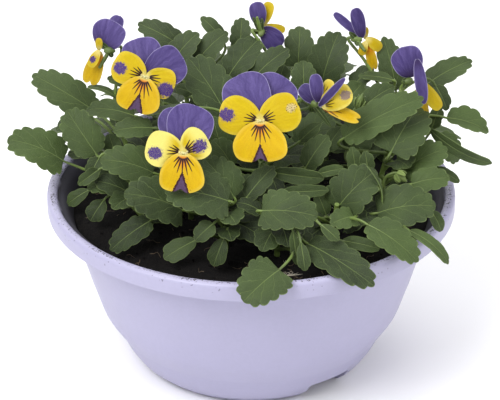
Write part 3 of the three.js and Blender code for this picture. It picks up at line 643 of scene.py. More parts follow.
def mottled(nodes: Nodes, scale: float, depth: float, colour: Feed) -> Value:
    """Lays soft darker patches, so many to a metre and so much darker, over a colour."""
    return nodes.use(mottle(), Place=nodes.place(), Scale=scale, Depth=depth, Colour=colour)["Colour"]


@once
def whiskers() -> NodeTree:
    """Makes the effect of dark lines that fan out of a bloom's throat over a petal.

    Returns:
        The node group.
    """
    inputs = {"Plan": ORIGIN, "Spacing": 0.2, "Start": 2.0, "End": 9.0, "Width": 0.4, "Count": 2.0}
    tree, nodes, given = new_effect("Whiskers", inputs, {"Mask": "NodeSocketFloat"})
    plan, spacing, start, end, width, count = given
    across, along, _ = nodes.parts(plan)
    reach = nodes.math("SQRT", across * across + along * along)
    turn = nodes.math("ARCTAN2", across, along) / spacing
    line = nodes.math("ROUND", turn)
    aside = abs(turn - line) * spacing * reach
    shorter = line * line * 0.035 + nodes.math("SINE", line * 12.9) * 0.09
    tip = end * (1.0 - shorter)
    share = (reach - start) / (tip - start)
    breadth = width * (1.05 - share * 0.8)
    drawn = nodes.step(aside, breadth, breadth * 0.45)
    begun, ended = nodes.step(reach, start, start + 0.8), nodes.step(reach, tip, tip - 1.2)
    listed = nodes.math("LESS_THAN", abs(line), count + 0.1)
    nodes.add("NodeGroupOutput", {"Mask": drawn * begun * ended * listed})
    return tree


@once
def fan() -> NodeTree:
    """Makes the effect of fine streaks and veins that run out from the base of a petal.

    Returns:
        The node group.
    """
    outputs = {"Streaks": "NodeSocketFloat", "Veins": "NodeSocketFloat"}
    tree, nodes, given = new_effect("Fan", {"Plan": ORIGIN, "Density": 9.0, "Seed": 0.0}, outputs)
    plan, density, seed = given
    across, along, _ = nodes.parts(plan)
    turn = nodes.math("ARCTAN2", across, along + 3.0) + nodes.noise(plan, 0.25) * 0.16
    spread = nodes.vector(turn * density, along * 0.05, seed)
    ridge = abs(nodes.math("FRACT", turn * density * 3.4) - 0.5)
    veins = nodes.step(ridge, 0.2, 0.02) * nodes.step(nodes.noise(spread, 2.0, 3.0, 0.6), 0.35, 0.6)
    streaks = nodes.step(nodes.noise(spread, 1.4, 4.0, 0.65), 0.3, 0.7)
    nodes.add("NodeGroupOutput", {"Streaks": streaks, "Veins": veins})
    return tree


# ---- Finishes --------------------------------------------------------------------------------------------


@dataclass(frozen=True)
class Finish:
    """A finish, with the name of its material and the colours and sizes that it is laid out with."""

    name: str = "Finish"

    def material(self) -> Material:
        """Makes the material.

        Returns:
            The material.
        """
        made = bpy.data.materials.new(self.name)
        made.use_nodes = True
        self.lay_out(Nodes(made.node_tree))
        return made

    def lay_out(self, nodes: Nodes) -> None:
        """Lays out the nodes of the material, which is plain unless a finish says more."""


@dataclass(frozen=True)
class LilacPlastic(Finish):
    """Moulded satin plastic of the bowl: soil stain and painted shade inside, and peat specks along its
    mouth.

    Heights and radii are in metres. A pair runs from where an effect is absent to where it is full.
    """

    name: str = "LilacPlastic"
    plain: Colour = linear(168, 165, 193)
    # Inner wall colour: soil stain together with painted shade.
    inside: Colour = linear(58, 56, 68)
    peat: Colour = linear(24, 20, 22)
    roughness: float = 0.34
    stain_height: Pair = (0.1035, 0.1013)
    lip_radius: Pair = (0.1145, 0.1124)
    lip_height: Pair = (0.101, 0.103)
    stray_height: Pair = (0.098, 0.1)

    def lay_out(self, nodes: Nodes) -> None:
        """Lays out the nodes of the material.

        Args:
            nodes: The material's nodes.
        """
        place = nodes.place()
        x, y, z = nodes.parts(place)
        radius = nodes.math("SQRT", x * x + y * y)
        scuffed = mottled(nodes, 420.0, 0.03, mottled(nodes, 14.0, 0.035, self.plain))
        ragged = (nodes.noise(place, 90.0, 3.0) - 0.5) * 0.004
        # The inner wall below the lip is darkened with soil stain and painted shade.
        stain_and_shade = nodes.number("inner") * nodes.step(z + ragged, *self.stain_height)
        lip = nodes.step(radius, *self.lip_radius) * nodes.step(z, *self.lip_height)
        least = 0.74 - lip * 0.17
        specks = nodes.step(nodes.noise(place, 1150.0, 0.5), least, least + 0.05)
        clumps = nodes.step(nodes.noise(place, 70.0), 0.38, 0.58) * 0.65 + 0.25
        dirt = specks * clumps * lip
        stray = nodes.step(nodes.noise(place, 700.0, 0.0), 0.79, 0.8) * nodes.step(z, *self.stray_height)
        dirty = nodes.math("MAXIMUM", dirt, stray * 0.5)
        colour = nodes.layered(scuffed, (stain_and_shade, self.inside), (dirty, self.peat))
        rough = nodes.noise(place, 60.0, 3.0) * 0.16 + self.roughness + stain_and_shade * 0.3
        relief = nodes.noise(place, 2200.0, 1.0) * 0.3 + dirt * 4.0
        nodes.shade(Base_Color=colour, Roughness=rough, Normal=nodes.bump(relief, 0.00006))


@dataclass(frozen=True)
class Peat(Finish):
    """Dark moist potting peat with a few pale grains."""

    name: str = "Peat"
    dark: Colour = linear(9, 8, 9)
    brown: Colour = linear(26, 22, 20)
    grain: Colour = linear(92, 86, 78)
    scale: float = 700.0
    relief: float = 0.0012

    def lay_out(self, nodes: Nodes) -> None:
        """Lays out the nodes of the material.

        Args:
            nodes: The material's nodes.
        """
        place = nodes.place()
        lumps = nodes.noise(place, self.scale, 6.0, 0.7)
        raised = nodes.step(lumps, 0.35, 0.7) * 0.75
        grains = nodes.step(nodes.noise(place, 1500.0), 0.68, 0.75) * 0.35
        colour = nodes.layered(self.dark, (raised, self.brown), (grains, self.grain))
        normal = nodes.bump(lumps, self.relief)
        nodes.shade(Base_Color=colour, Roughness=0.93, Specular_IOR_Level=0.2, Normal=normal)


@dataclass(frozen=True)
class LeafBlade(Finish):
    """Matt leaf with a pale midrib, side veins that run forward, a fine net and a thin light margin."""

    name: str = "LeafBlade"
    dark: Colour = linear(32, 44, 22)
    light: Colour = linear(77, 97, 47)
    bloom: Colour = linear(78, 90, 64)
    rib: Colour = linear(118, 136, 80)
    below: Colour = linear(96, 112, 66)
    young: Colour = linear(140, 162, 88)
    veins: float = 5.0
    relief: float = 0.0004

    def lay_out(self, nodes: Nodes) -> None:
        """Lays out the nodes of the material.

        Args:
            nodes: The material's nodes.
        """
        tone, hue, _ = nodes.parts(nodes.attribute("dress"))
        under, place = nodes.number("underside"), nodes.place()
        rib, vein, mesh = self.drawn(nodes)
        patch = nodes.noise(place, 55.0, 3.0, 0.55)
        # The tone here holds painted light and shade by where the leaf stands, besides random tone and soft
        # patches.
        lit = nodes.held(tone * 0.5 + (patch - 0.5) * 1.1, 0.42)
        young = nodes.step(tone, 1.0, 2.0)
        colour = nodes.layered(self.dark, (lit, self.light), (hue * 0.55, self.bloom), (young, self.young))
        margin = nodes.step(nodes.parts(nodes.attribute("plan"))[2], 0.34, 0.08)
        colour = nodes.layered(
            mottled(nodes, 900.0, 0.12, colour),
            (mesh * 0.16, self.rib),
            (vein * 0.36, self.rib),
            (under * 0.6, self.below),
            (rib * 0.68, self.rib),
            (margin * 0.45, self.rib),
        )
        raised = nodes.math("MAXIMUM", nodes.math("MAXIMUM", rib, vein * 0.8), mesh * 0.35)
        grain = nodes.noise(place, 1600.0) * 0.25
        normal = nodes.bump(grain - raised * (under * -1.6 + 0.8), self.relief)
        nodes.shade(Base_Color=colour, Roughness=0.58, Specular_IOR_Level=0.3, Normal=normal)

    def drawn(self, nodes: Nodes) -> tuple[Value, Value, Value]:
        """Draws the ribs of a leaf.

        Args:
            nodes: The material's nodes.

        Returns:
            The masks of the midrib, of the side veins and of the fine net between them.
        """
        plan = nodes.attribute("plan")
        across = nodes.parts(plan)[0]
        side, along, _ = nodes.parts(nodes.attribute("share"))
        rib_width = (1.0 - along) * 0.42 + 0.1
        rib = nodes.step(abs(across), rib_width, rib_width * 0.35)
        out = abs(side)
        forward = nodes.math("POWER", out, 0.9) * 0.36
        sway = nodes.noise(plan, 0.18, 1.0) * 0.1
        phase = (along - forward + sway) * self.veins + nodes.math("SIGN", side) * 0.09
        gap = abs(nodes.math("FRACT", phase) - 0.5)
        vein = nodes.step(gap, 0.055, 0.008) * (nodes.step(out, 0.98, 0.2) * 0.75 + 0.25)
        feeds = {"Vector": plan, "Scale": 0.95}
        cells = nodes.value("ShaderNodeTexVoronoi", feeds, feature="DISTANCE_TO_EDGE")
        return rib, vein, nodes.step(cells, 0.09, 0.0)


@dataclass(frozen=True)
class GreenStalk(Finish):
    """Stems, petioles, stalks, sepals and spurs."""

    name: str = "GreenStalk"
    green: Colour = linear(116, 138, 66)
    dull: Colour = linear(82, 100, 48)
    flush: Colour = linear(80, 64, 62)
    flushed: float = 0.2
    relief: float = 0.00025

    def lay_out(self, nodes: Nodes) -> None:
        """Lays out the nodes of the material.

        Args:
            nodes: The material's nodes.
        """
        place = nodes.place()
        bright = nodes.step(nodes.noise(place, 70.0, 3.0), 0.3, 0.7)
        red = nodes.step(nodes.noise(place, 130.0), 0.5, 0.75) * self.flushed
        colour = nodes.layered(self.dull, (bright, self.green), (red, self.flush))
        colour = mottled(nodes, 1200.0, 0.18, colour)
        normal = nodes.bump(nodes.noise(place, 900.0, 3.0), self.relief)
        nodes.shade(Base_Color=colour, Roughness=0.5, Normal=normal)


@dataclass(frozen=True)
class VioletPetal(Finish):
    """Velvety violet petal, veined from its base, with a pale lilac line along its edge."""

    name: str = "VioletPetal"
    deep: Colour = linear(55, 42, 98)
    light: Colour = linear(96, 83, 140)
    heart: Colour = linear(50, 32, 76)
    edge: Colour = linear(166, 158, 196)
    vein: Colour = linear(54, 40, 94)
    sheen: Colour = linear(170, 156, 220)
    relief: float = 0.00012

    def lay_out(self, nodes: Nodes) -> None:
        """Lays out the nodes of the material.

        Args:
            nodes: The material's nodes.
        """
        plan = nodes.attribute("plan")
        tone = nodes.parts(nodes.attribute("dress"))[0]
        _, along, margin = nodes.parts(plan)
        fanned = nodes.use(fan(), Plan=plan, Density=9.0, Seed=3.0)
        streaks, veins = fanned["Streaks"], fanned["Veins"]
        lit = nodes.held(streaks * 0.5 + tone * 0.25, 0.22)
        heart = nodes.step(along, 8.0, 0.0) * 0.75
        colour = nodes.layered(self.deep, (lit, self.light), (veins * 0.4, self.vein), (heart, self.heart))
        colour = mottled(nodes, 1400.0, 0.12, colour)
        colour = nodes.mix(nodes.step(margin, 0.42, 0.12) * 0.6, colour, self.edge)
        nodes.shade(Base_Color=colour, Roughness=0.6, Specular_IOR_Level=0.25)
        nodes.shade(Sheen_Weight=0.08, Sheen_Roughness=0.4, Sheen_Tint=self.sheen)
        nodes.shade(Normal=nodes.bump(streaks + veins * -0.6, self.relief))


@dataclass(frozen=True)
class YellowPetal(Finish):
    """Yellow petal with dark whiskers at the throat, and a speckled violet spot or, on a lip, a dark wedge.

    Reaches and widths are in millimetres on the petal, and whisker_spacing is in radians.
    """

    name: str = "YellowLateral"
    plain: Colour = linear(195, 170, 6)
    shade: Colour = linear(182, 150, 4)
    lemon: Colour = linear(216, 206, 112)
    lemon_reach: float = 2.2
    throat: Colour = linear(214, 200, 120)
    throat_reach: Pair = (4.9, 1.0)
    whisker: Colour = linear(38, 10, 18)
    whisker_spacing: float = 0.24
    whisker_start: float = 2.2
    whisker_end: float = 9.4
    whisker_width: float = 0.8
    whisker_count: float = 2.0
    violet: Colour = linear(66, 46, 112)
    faded: Colour = linear(206, 190, 150)
    orange: Colour = linear(206, 118, 14)
    wedge: Colour = linear(80, 60, 88)
    wedge_edge: Colour = linear(54, 22, 32)
    lip: bool = False
    relief: float = 0.0001

    def lay_out(self, nodes: Nodes) -> None:
        """Lays out the nodes of the material.

        Args:
            nodes: The material's nodes.
        """
        plan = nodes.attribute("plan")
        tone, pale, _ = nodes.parts(nodes.attribute("dress"))
        across, along, margin = nodes.parts(plan)
        reach = nodes.math("SQRT", across * across + along * along)
        fanned = nodes.use(fan(), Plan=plan, Density=7.0, Seed=8.0)
        colour = nodes.layered(
            self.plain,
            (fanned["Streaks"] * 0.55, self.shade),
            (nodes.step(margin, self.lemon_reach, 0.2) * pale, self.lemon),
            (nodes.step(along, 4.0, 12.0) * nodes.step(pale, 0.3, 0.8), self.lemon),
            (nodes.step(reach, *self.throat_reach) * 0.9, self.throat),
            (tone * 0.1, self.shade),
        )
        colour = self.wedged(nodes, colour) if self.lip else self.spotted(nodes, colour)
        lines = nodes.use(
            whiskers(),
            Plan=plan,
            Spacing=self.whisker_spacing,
            Start=self.whisker_start,
            End=self.whisker_end,
            Width=self.whisker_width,
            Count=self.whisker_count,
        )["Mask"]
        drawn = lines * nodes.parts(nodes.attribute("mark"))[2]
        colour = mottled(nodes, 1300.0, 0.06, nodes.mix(drawn, colour, self.whisker))
        normal = nodes.bump(fanned["Streaks"] + fanned["Veins"] * -0.5, self.relief)
        nodes.shade(Base_Color=colour, Roughness=0.55, Specular_IOR_Level=0.2, Normal=normal)

    def spotted(self, nodes: Nodes, colour: Value) -> Value:
        """Lays the violet spot, or the rest of a faded one, over a lateral petal's colour.

        Args:
            nodes: The material's nodes.
            colour: The petal's colour.

        Returns:
            The colour with the spot.
        """
        plan = nodes.attribute("plan")
        middle_across, middle_along, size = nodes.parts(nodes.attribute("spot"))
        across, along, _ = nodes.parts(plan)
        aside, apart = across - middle_across, along - middle_along
        gap = nodes.math("SQRT", aside * aside + apart * apart * 0.72)
        ragged = (nodes.noise(plan, 0.7, 4.0, 0.7) - 0.5) * 1.9
        share = gap / nodes.math("MAXIMUM", size, 0.01) + ragged
        holes = nodes.step(nodes.noise(plan, 3.4, 1.0), 0.6, 0.66)
        solid = nodes.step(share, 1.3, 1.16) * (1.0 - holes * 0.55)
        grains = nodes.step(nodes.noise(plan, 2.6, 1.0), 0.52, 0.56) * nodes.step(share, 1.75, 1.2)
        mask = nodes.math("MAXIMUM", solid, grains * 0.8)
        strength = nodes.number("strength")
        there, full = nodes.step(size, 0.2, 0.6), nodes.step(strength, 0.45, 0.55)
        worn = there * (1.0 - full)
        flecks = nodes.step(nodes.noise(plan, 1.7, 1.0), 0.55, 0.6) * nodes.step(share, 1.5, 1.1)
        return nodes.layered(
            colour,
            (nodes.step(share, 1.4, 0.8) * worn * 0.6, self.faded),
            (flecks * worn * 0.9, self.whisker),
            (mask * there * full * strength, self.violet),
        )

    def wedged(self, nodes: Nodes, colour: Value) -> Value:
        """Lays the orange throat and the dark wedge over the lip's colour.

        Args:
            nodes: The material's nodes.
            colour: The lip's colour.

        Returns:
            The colour with the wedge.
        """
        plan = nodes.attribute("plan")
        across, along, _ = nodes.parts(plan)
        start, slope, _ = nodes.parts(nodes.attribute("mark"))
        off = abs(across)
        warm = nodes.step(along, 10.5, 4.0) * nodes.step(off, 4.0, 1.0) * nodes.step(along, 1.0, 2.6)
        ragged = (nodes.noise(plan, 0.8, 4.0, 0.75) - 0.5) * 2.2
        inside = (along - start) * slope + ragged - off
        dark = nodes.mix(nodes.step(inside, 0.75, 1.5), self.wedge_edge, self.wedge)
        near = nodes.step(inside, -2.6, -0.6) * nodes.step(along, start, start + 5.0)
        specks = nodes.step(nodes.noise(plan, 1.9, 1.0), 0.62, 0.68)
        wedge, freckles = nodes.step(inside, -0.02, 0.14), near * specks * 0.7
        return nodes.layered(colour, (warm * 0.9, self.orange), (wedge, dark), (freckles, self.wedge_edge))


@dataclass(frozen=True)
class PaleThread(Finish):
    """Pale fine threads: hairs, the beard at a throat, dry roots and the fibres in peat."""

    name: str = "PaleHair"
    pale: Colour = linear(206, 212, 186)
    dull: Colour = linear(160, 160, 130)
    roughness: float = 0.6

    def lay_out(self, nodes: Nodes) -> None:
        """Lays out the nodes of the material.

        Args:
            nodes: The material's nodes.
        """
        place = nodes.place()
        rough = nodes.noise(place, 900.0) * 0.2 + (self.roughness - 0.1)
        nodes.shade(Base_Color=nodes.mix(nodes.noise(place, 400.0), self.dull, self.pale), Roughness=rough)


@dataclass(frozen=True)
class StudioPaper(Finish):
    """Pale matt paper under and behind the plant."""

    name: str = "StudioPaper"
    white: Colour = linear(248, 248, 249)

    def lay_out(self, nodes: Nodes) -> None:
        """Lays out the nodes of the material."""
        nodes.shade(Base_Color=mottled(nodes, 3.0, 0.01, self.white), Roughness=0.9)


# ---- Blades: leaves, petals and sepals -------------------------------------------------------------------

# Crowding of a net's columns towards the midrib, width in millimetres over which a fold is rounded, and the
# widths below which a blade takes the small and the medium net.
CROWDING = 1.25
MIDRIB_EASE = 0.5
SMALL, MEDIUM = 8.5, 17.5


@dataclass(frozen=True)
class Outline:
    """A blade's outline, as in the solids' source, with the depth of its crenate edge."""

    bulge: float
    fullness: float
    lobe: float = 0.0
    notch: float = 0.0
    crenation: float = 0.0


class Kind(Enum):
    """The outlines of blades."""

    ROUND = Outline(0.82, 0.66, 0.16, 0.0, 0.08)
    EGG = Outline(0.9, 0.78, 0.02, 0.0, 0.078)
    SPOON = Outline(1.25, 0.95, 0.0, 0.0, 0.055)
    STRAP = Outline(1.0, 0.8, 0.0, 0.0, 0.028)
    PETAL = Outline(1.25, 0.72)
    LIP = Outline(1.35, 0.66, 0.0, 0.1)
    SEPAL = Outline(0.7, 0.9)


class Hue(StrEnum):
    """The colours of petals, as the solids are named after them."""

    VIOLET = "violet"
    YELLOW = "yellow"


ROUND, EGG, SPOON, STRAP, PETAL, LIP, SEPAL = Kind
VIOLET, YELLOW = Hue


@dataclass
class Blade:
    """A thin blade from its base to its tip, in millimetres, that faces one way."""

    kind: Kind
    base: Vector
    tip: Vector
    face: Vector
    width: float
    teeth: int = 0
    arch: float = 0.0
    fold: float = 0.0
    neck: float = 0.0
    quilt: float = 0.0
    ripple: float = 0.0
    droop: float = 0.0
    ruffle: float = 0.0
    tone: float = 0.0
    hue: float = 0.0
    spot: Spot = ORIGIN
    strength: float = 0.0
    mark: Spot = ORIGIN

    @property
    def axes(self) -> tuple[Vector, Vector, Vector]:
        """The directions along, across and out of the blade.

        Returns:
            The three unit vectors.
        """
        along = (self.tip - self.base).normalized()
        across = along.cross(self.face).normalized()
        return along, across, across.cross(along).normalized()

    @property
    def length(self) -> float:
        """The distance from base to tip."""
        return (self.tip - self.base).length

    def on_plan(self, u: float, v: float) -> Pair:
        """Finds the place on the blade that a place on the drawing sheet falls on.

        Args:
            u: Units to the right on the sheet.
            v: Units down.

        Returns:
            The place across and along the blade, in millimetres.
        """
        along, across, outward = self.axes
        ray = SHEET.place((u, v, 0.0)) - SHEET.eye
        hit = SHEET.eye + ray * ((self.base - SHEET.eye).dot(outward) / ray.dot(outward)) - self.base
        return hit.dot(across), hit.dot(along)

    def outline(self, side: np.ndarray, share: np.ndarray) -> tuple[np.ndarray, np.ndarray]:
        """Works out the flat outline's places.

        Args:
            side: From -1 at one margin to 1 at the other.
            share: From 0 at the base to 1 at the tip.

        Returns:
            The places along and across the blade, in millimetres.
        """
        form, length = self.kind.value, self.length
        swell = np.sin(math.pi * share**form.bulge).clip(0.0) ** form.fullness
        half = self.width / 2 * swell + self.neck * np.exp(-((share / 0.07) ** 2)) * (share < 0.6)
        middle = length * (1 - np.cos(math.pi * share)) / 2
        edge = middle - length * form.lobe * np.sin(math.pi * share) * (1 - share) ** 2
        crest = 2 * np.abs(np.sin(math.pi * ((share - 1) * max(self.teeth, 1) + 0.5))) ** 0.66 - 1
        swing = form.crenation * crest * smoothstep(0.06, 0.22, share) if self.teeth else 0.0 * share
        wave = np.sin(share * 17.0 + side * 2.0 + self.width)
        swing = swing + self.ruffle * wave * smoothstep(0.3, 0.6, share)
        pivot = 0.45 * length
        middle = pivot + (middle - pivot) * (1 + swing * smoothstep(0.75, 1.0, share))
        edge = pivot + (edge - pivot) * (1 + swing)
        along = middle + (edge - middle) * np.abs(side) ** 1.5
        across = side * half * (1 + swing)
        pinch = np.exp(-((across / (0.09 * self.width)) ** 2)) * smoothstep(0.7, 1.0, share)
        return along - length * form.notch * pinch, across

    def lift(self, along: np.ndarray, across: np.ndarray, side: np.ndarray, share: np.ndarray) -> np.ndarray:
        """Works out how far each place stands out of the blade's plane.

        Args:
            along: Places along the blade, in millimetres.
            across: Places across it.
            side: From -1 at one margin to 1 at the other.
            share: From 0 at the base to 1 at the tip.

        Returns:
            The heights, in millimetres.
        """
        run = along / self.length
        raised = self.arch * 4 * run * (1 - run)
        eased = np.sqrt(across**2 + MIDRIB_EASE**2) - MIDRIB_EASE
        raised = raised + eased * math.tan(math.radians(self.fold))
        side_veins = np.cos(2 * math.pi * (self.teeth + 1) * (share - 0.36 * np.abs(side) ** 0.9))
        body = np.sin(math.pi * share) * (1 - np.abs(side) ** 3)
        raised = raised + self.quilt * (0.5 - 0.5 * side_veins) * np.abs(side) ** 0.6 * body
        turn = self.base.x + self.tip.z
        margin = np.sin(math.pi * share) * side**2
        raised = raised + self.ripple * margin * np.sin(share * 11.0 + np.sign(side) * 1.3 + turn)
        return raised - self.droop * run.clip(0.0) ** 2.5

    def laid(self, net: Piece) -> Piece:
        """Lays a copy of a flat net out as this blade, with what its finish reads.

        Args:
            net: A square grid from -1 to 1.

        Returns:
            The new piece.
        """
        piece = copied(net)
        grid = points_of(piece)
        side = np.sign(grid[:, 0]) * np.abs(grid[:, 0]) ** CROWDING
        share = ((grid[:, 1] + 1) / 2).clip(0.0, 1.0)
        along, across = self.outline(side, share)
        lift = self.lift(along, across, side, share)
        directions = [np.array(axis) for axis in self.axes]
        flat = np.outer(along, directions[0]) + np.outer(across, directions[1])
        move_points(piece, (np.array(self.base) + flat + np.outer(lift, directions[2])) * MM)
        rim = np.abs(side) > 0.999
        gaps = np.hypot(along[:, None] - along[rim][None], across[:, None] - across[rim][None])
        count = len(grid)
        write(piece, "plan", np.column_stack([across, along, gaps.min(axis=1)]))
        write(piece, "share", np.column_stack([side, share, 0 * side]))
        for name, row in (("dress", (self.tone, self.hue, 0.0)), ("spot", self.spot), ("mark", self.mark)):
            write(piece, name, np.tile(np.array(row), (count, 1)))
        write(piece, "strength", np.full(count, self.strength), "FLOAT")
        return piece


def net(columns: int, rows: int) -> Piece:
    """Makes the square grid that blades are laid out from.

    Args:
        columns: Columns of the grid.
        rows: Rows of the grid.

    Returns:
        The grid.
    """
    bpy.ops.object.select_all(action="DESELECT")
    bpy.ops.mesh.primitive_grid_add(x_subdivisions=columns, y_subdivisions=rows, size=2.0, calc_uvs=False)
    return named(f"net_{columns}_{rows}")


class Nets:
    """The nets of three finenesses, taken away again at the end."""

    def __init__(self) -> None:
        """Makes the nets."""
        self.small, self.medium, self.large = net(6, 24), net(8, 54), net(12, 78)

    def fitting(self, blade: Blade) -> Piece:
        """Gives the net that suits a blade's size.

        Args:
            blade: The blade.

        Returns:
            The net.
        """
        if blade.width < SMALL:
            return self.small
        return self.medium if blade.width < MEDIUM else self.large

    def clear(self) -> None:
        """Takes the nets away."""
        for piece in (self.small, self.medium, self.large):
            bpy.data.objects.remove(piece)


def thickened(name: str, blades: Sequence[Piece], thickness: float) -> Piece:
    """Joins flat blades and gives them a thickness in millimetres, with their undersides marked.

    Args:
        name: The piece's name.
        blades: The flat blades.
        thickness: Thickness of each.

    Returns:
        The piece.
    """
    piece = joined(name, blades)
    sewn(piece, outwards=False)
    count = len(piece.data.vertices)
    finished_with(piece, "SOLIDIFY", thickness=thickness * MM, offset=0.0)
    below = np.arange(len(piece.data.vertices)) >= count
    write(piece, "underside", below.astype(float), "FLOAT")
    smoothed(piece, 50)
    return piece


def curved(start: Vector, middle: Vector, end: Vector, steps: int) -> list[Vector]:
    """Gives points along the arc from start to end that middle draws towards itself."""
    shares = [i / steps for i in range(steps + 1)]
    return [start * (1 - t) ** 2 + middle * (2 * t * (1 - t)) + end * t**2 for t in shares]


# ---- Where stems, leaves and blooms stand ----------------------------------------------------------------

STEMS: dict[str, tuple[Pair, Spot]] = {
    "left": ((-62, 4), (-78, 12, 148)),
    "left_front": ((-58, -26), (-66, -24, 126)),
    "mid_left": ((-34, -14), (-44, -12, 150)),
    "front_left": ((-14, -48), (-20, -50, 132)),
    "front": ((14, -56), (14, -62, 126)),
    "front_right": ((44, -50), (46, -58, 122)),
    "right_front": ((66, -32), (74, -46, 124)),
    "right": ((70, -2), (82, -6, 150)),
    "right_back": ((58, 26), (76, 24, 152)),
    "centre": ((8, -14), (10, -16, 152)),
    "centre_back": ((14, 24), (16, 30, 160)),
    "left_back": ((-34, 28), (-38, 38, 160)),
    "back_left": ((-38, 62), (-34, 52, 136)),
    "back": ((-4, 66), (-4, 55, 136)),
    "back_right": ((44, 58), (36, 48, 136)),
}

LeafRow = tuple[str, Kind, Spot, Spot, float, int, float, float, float]

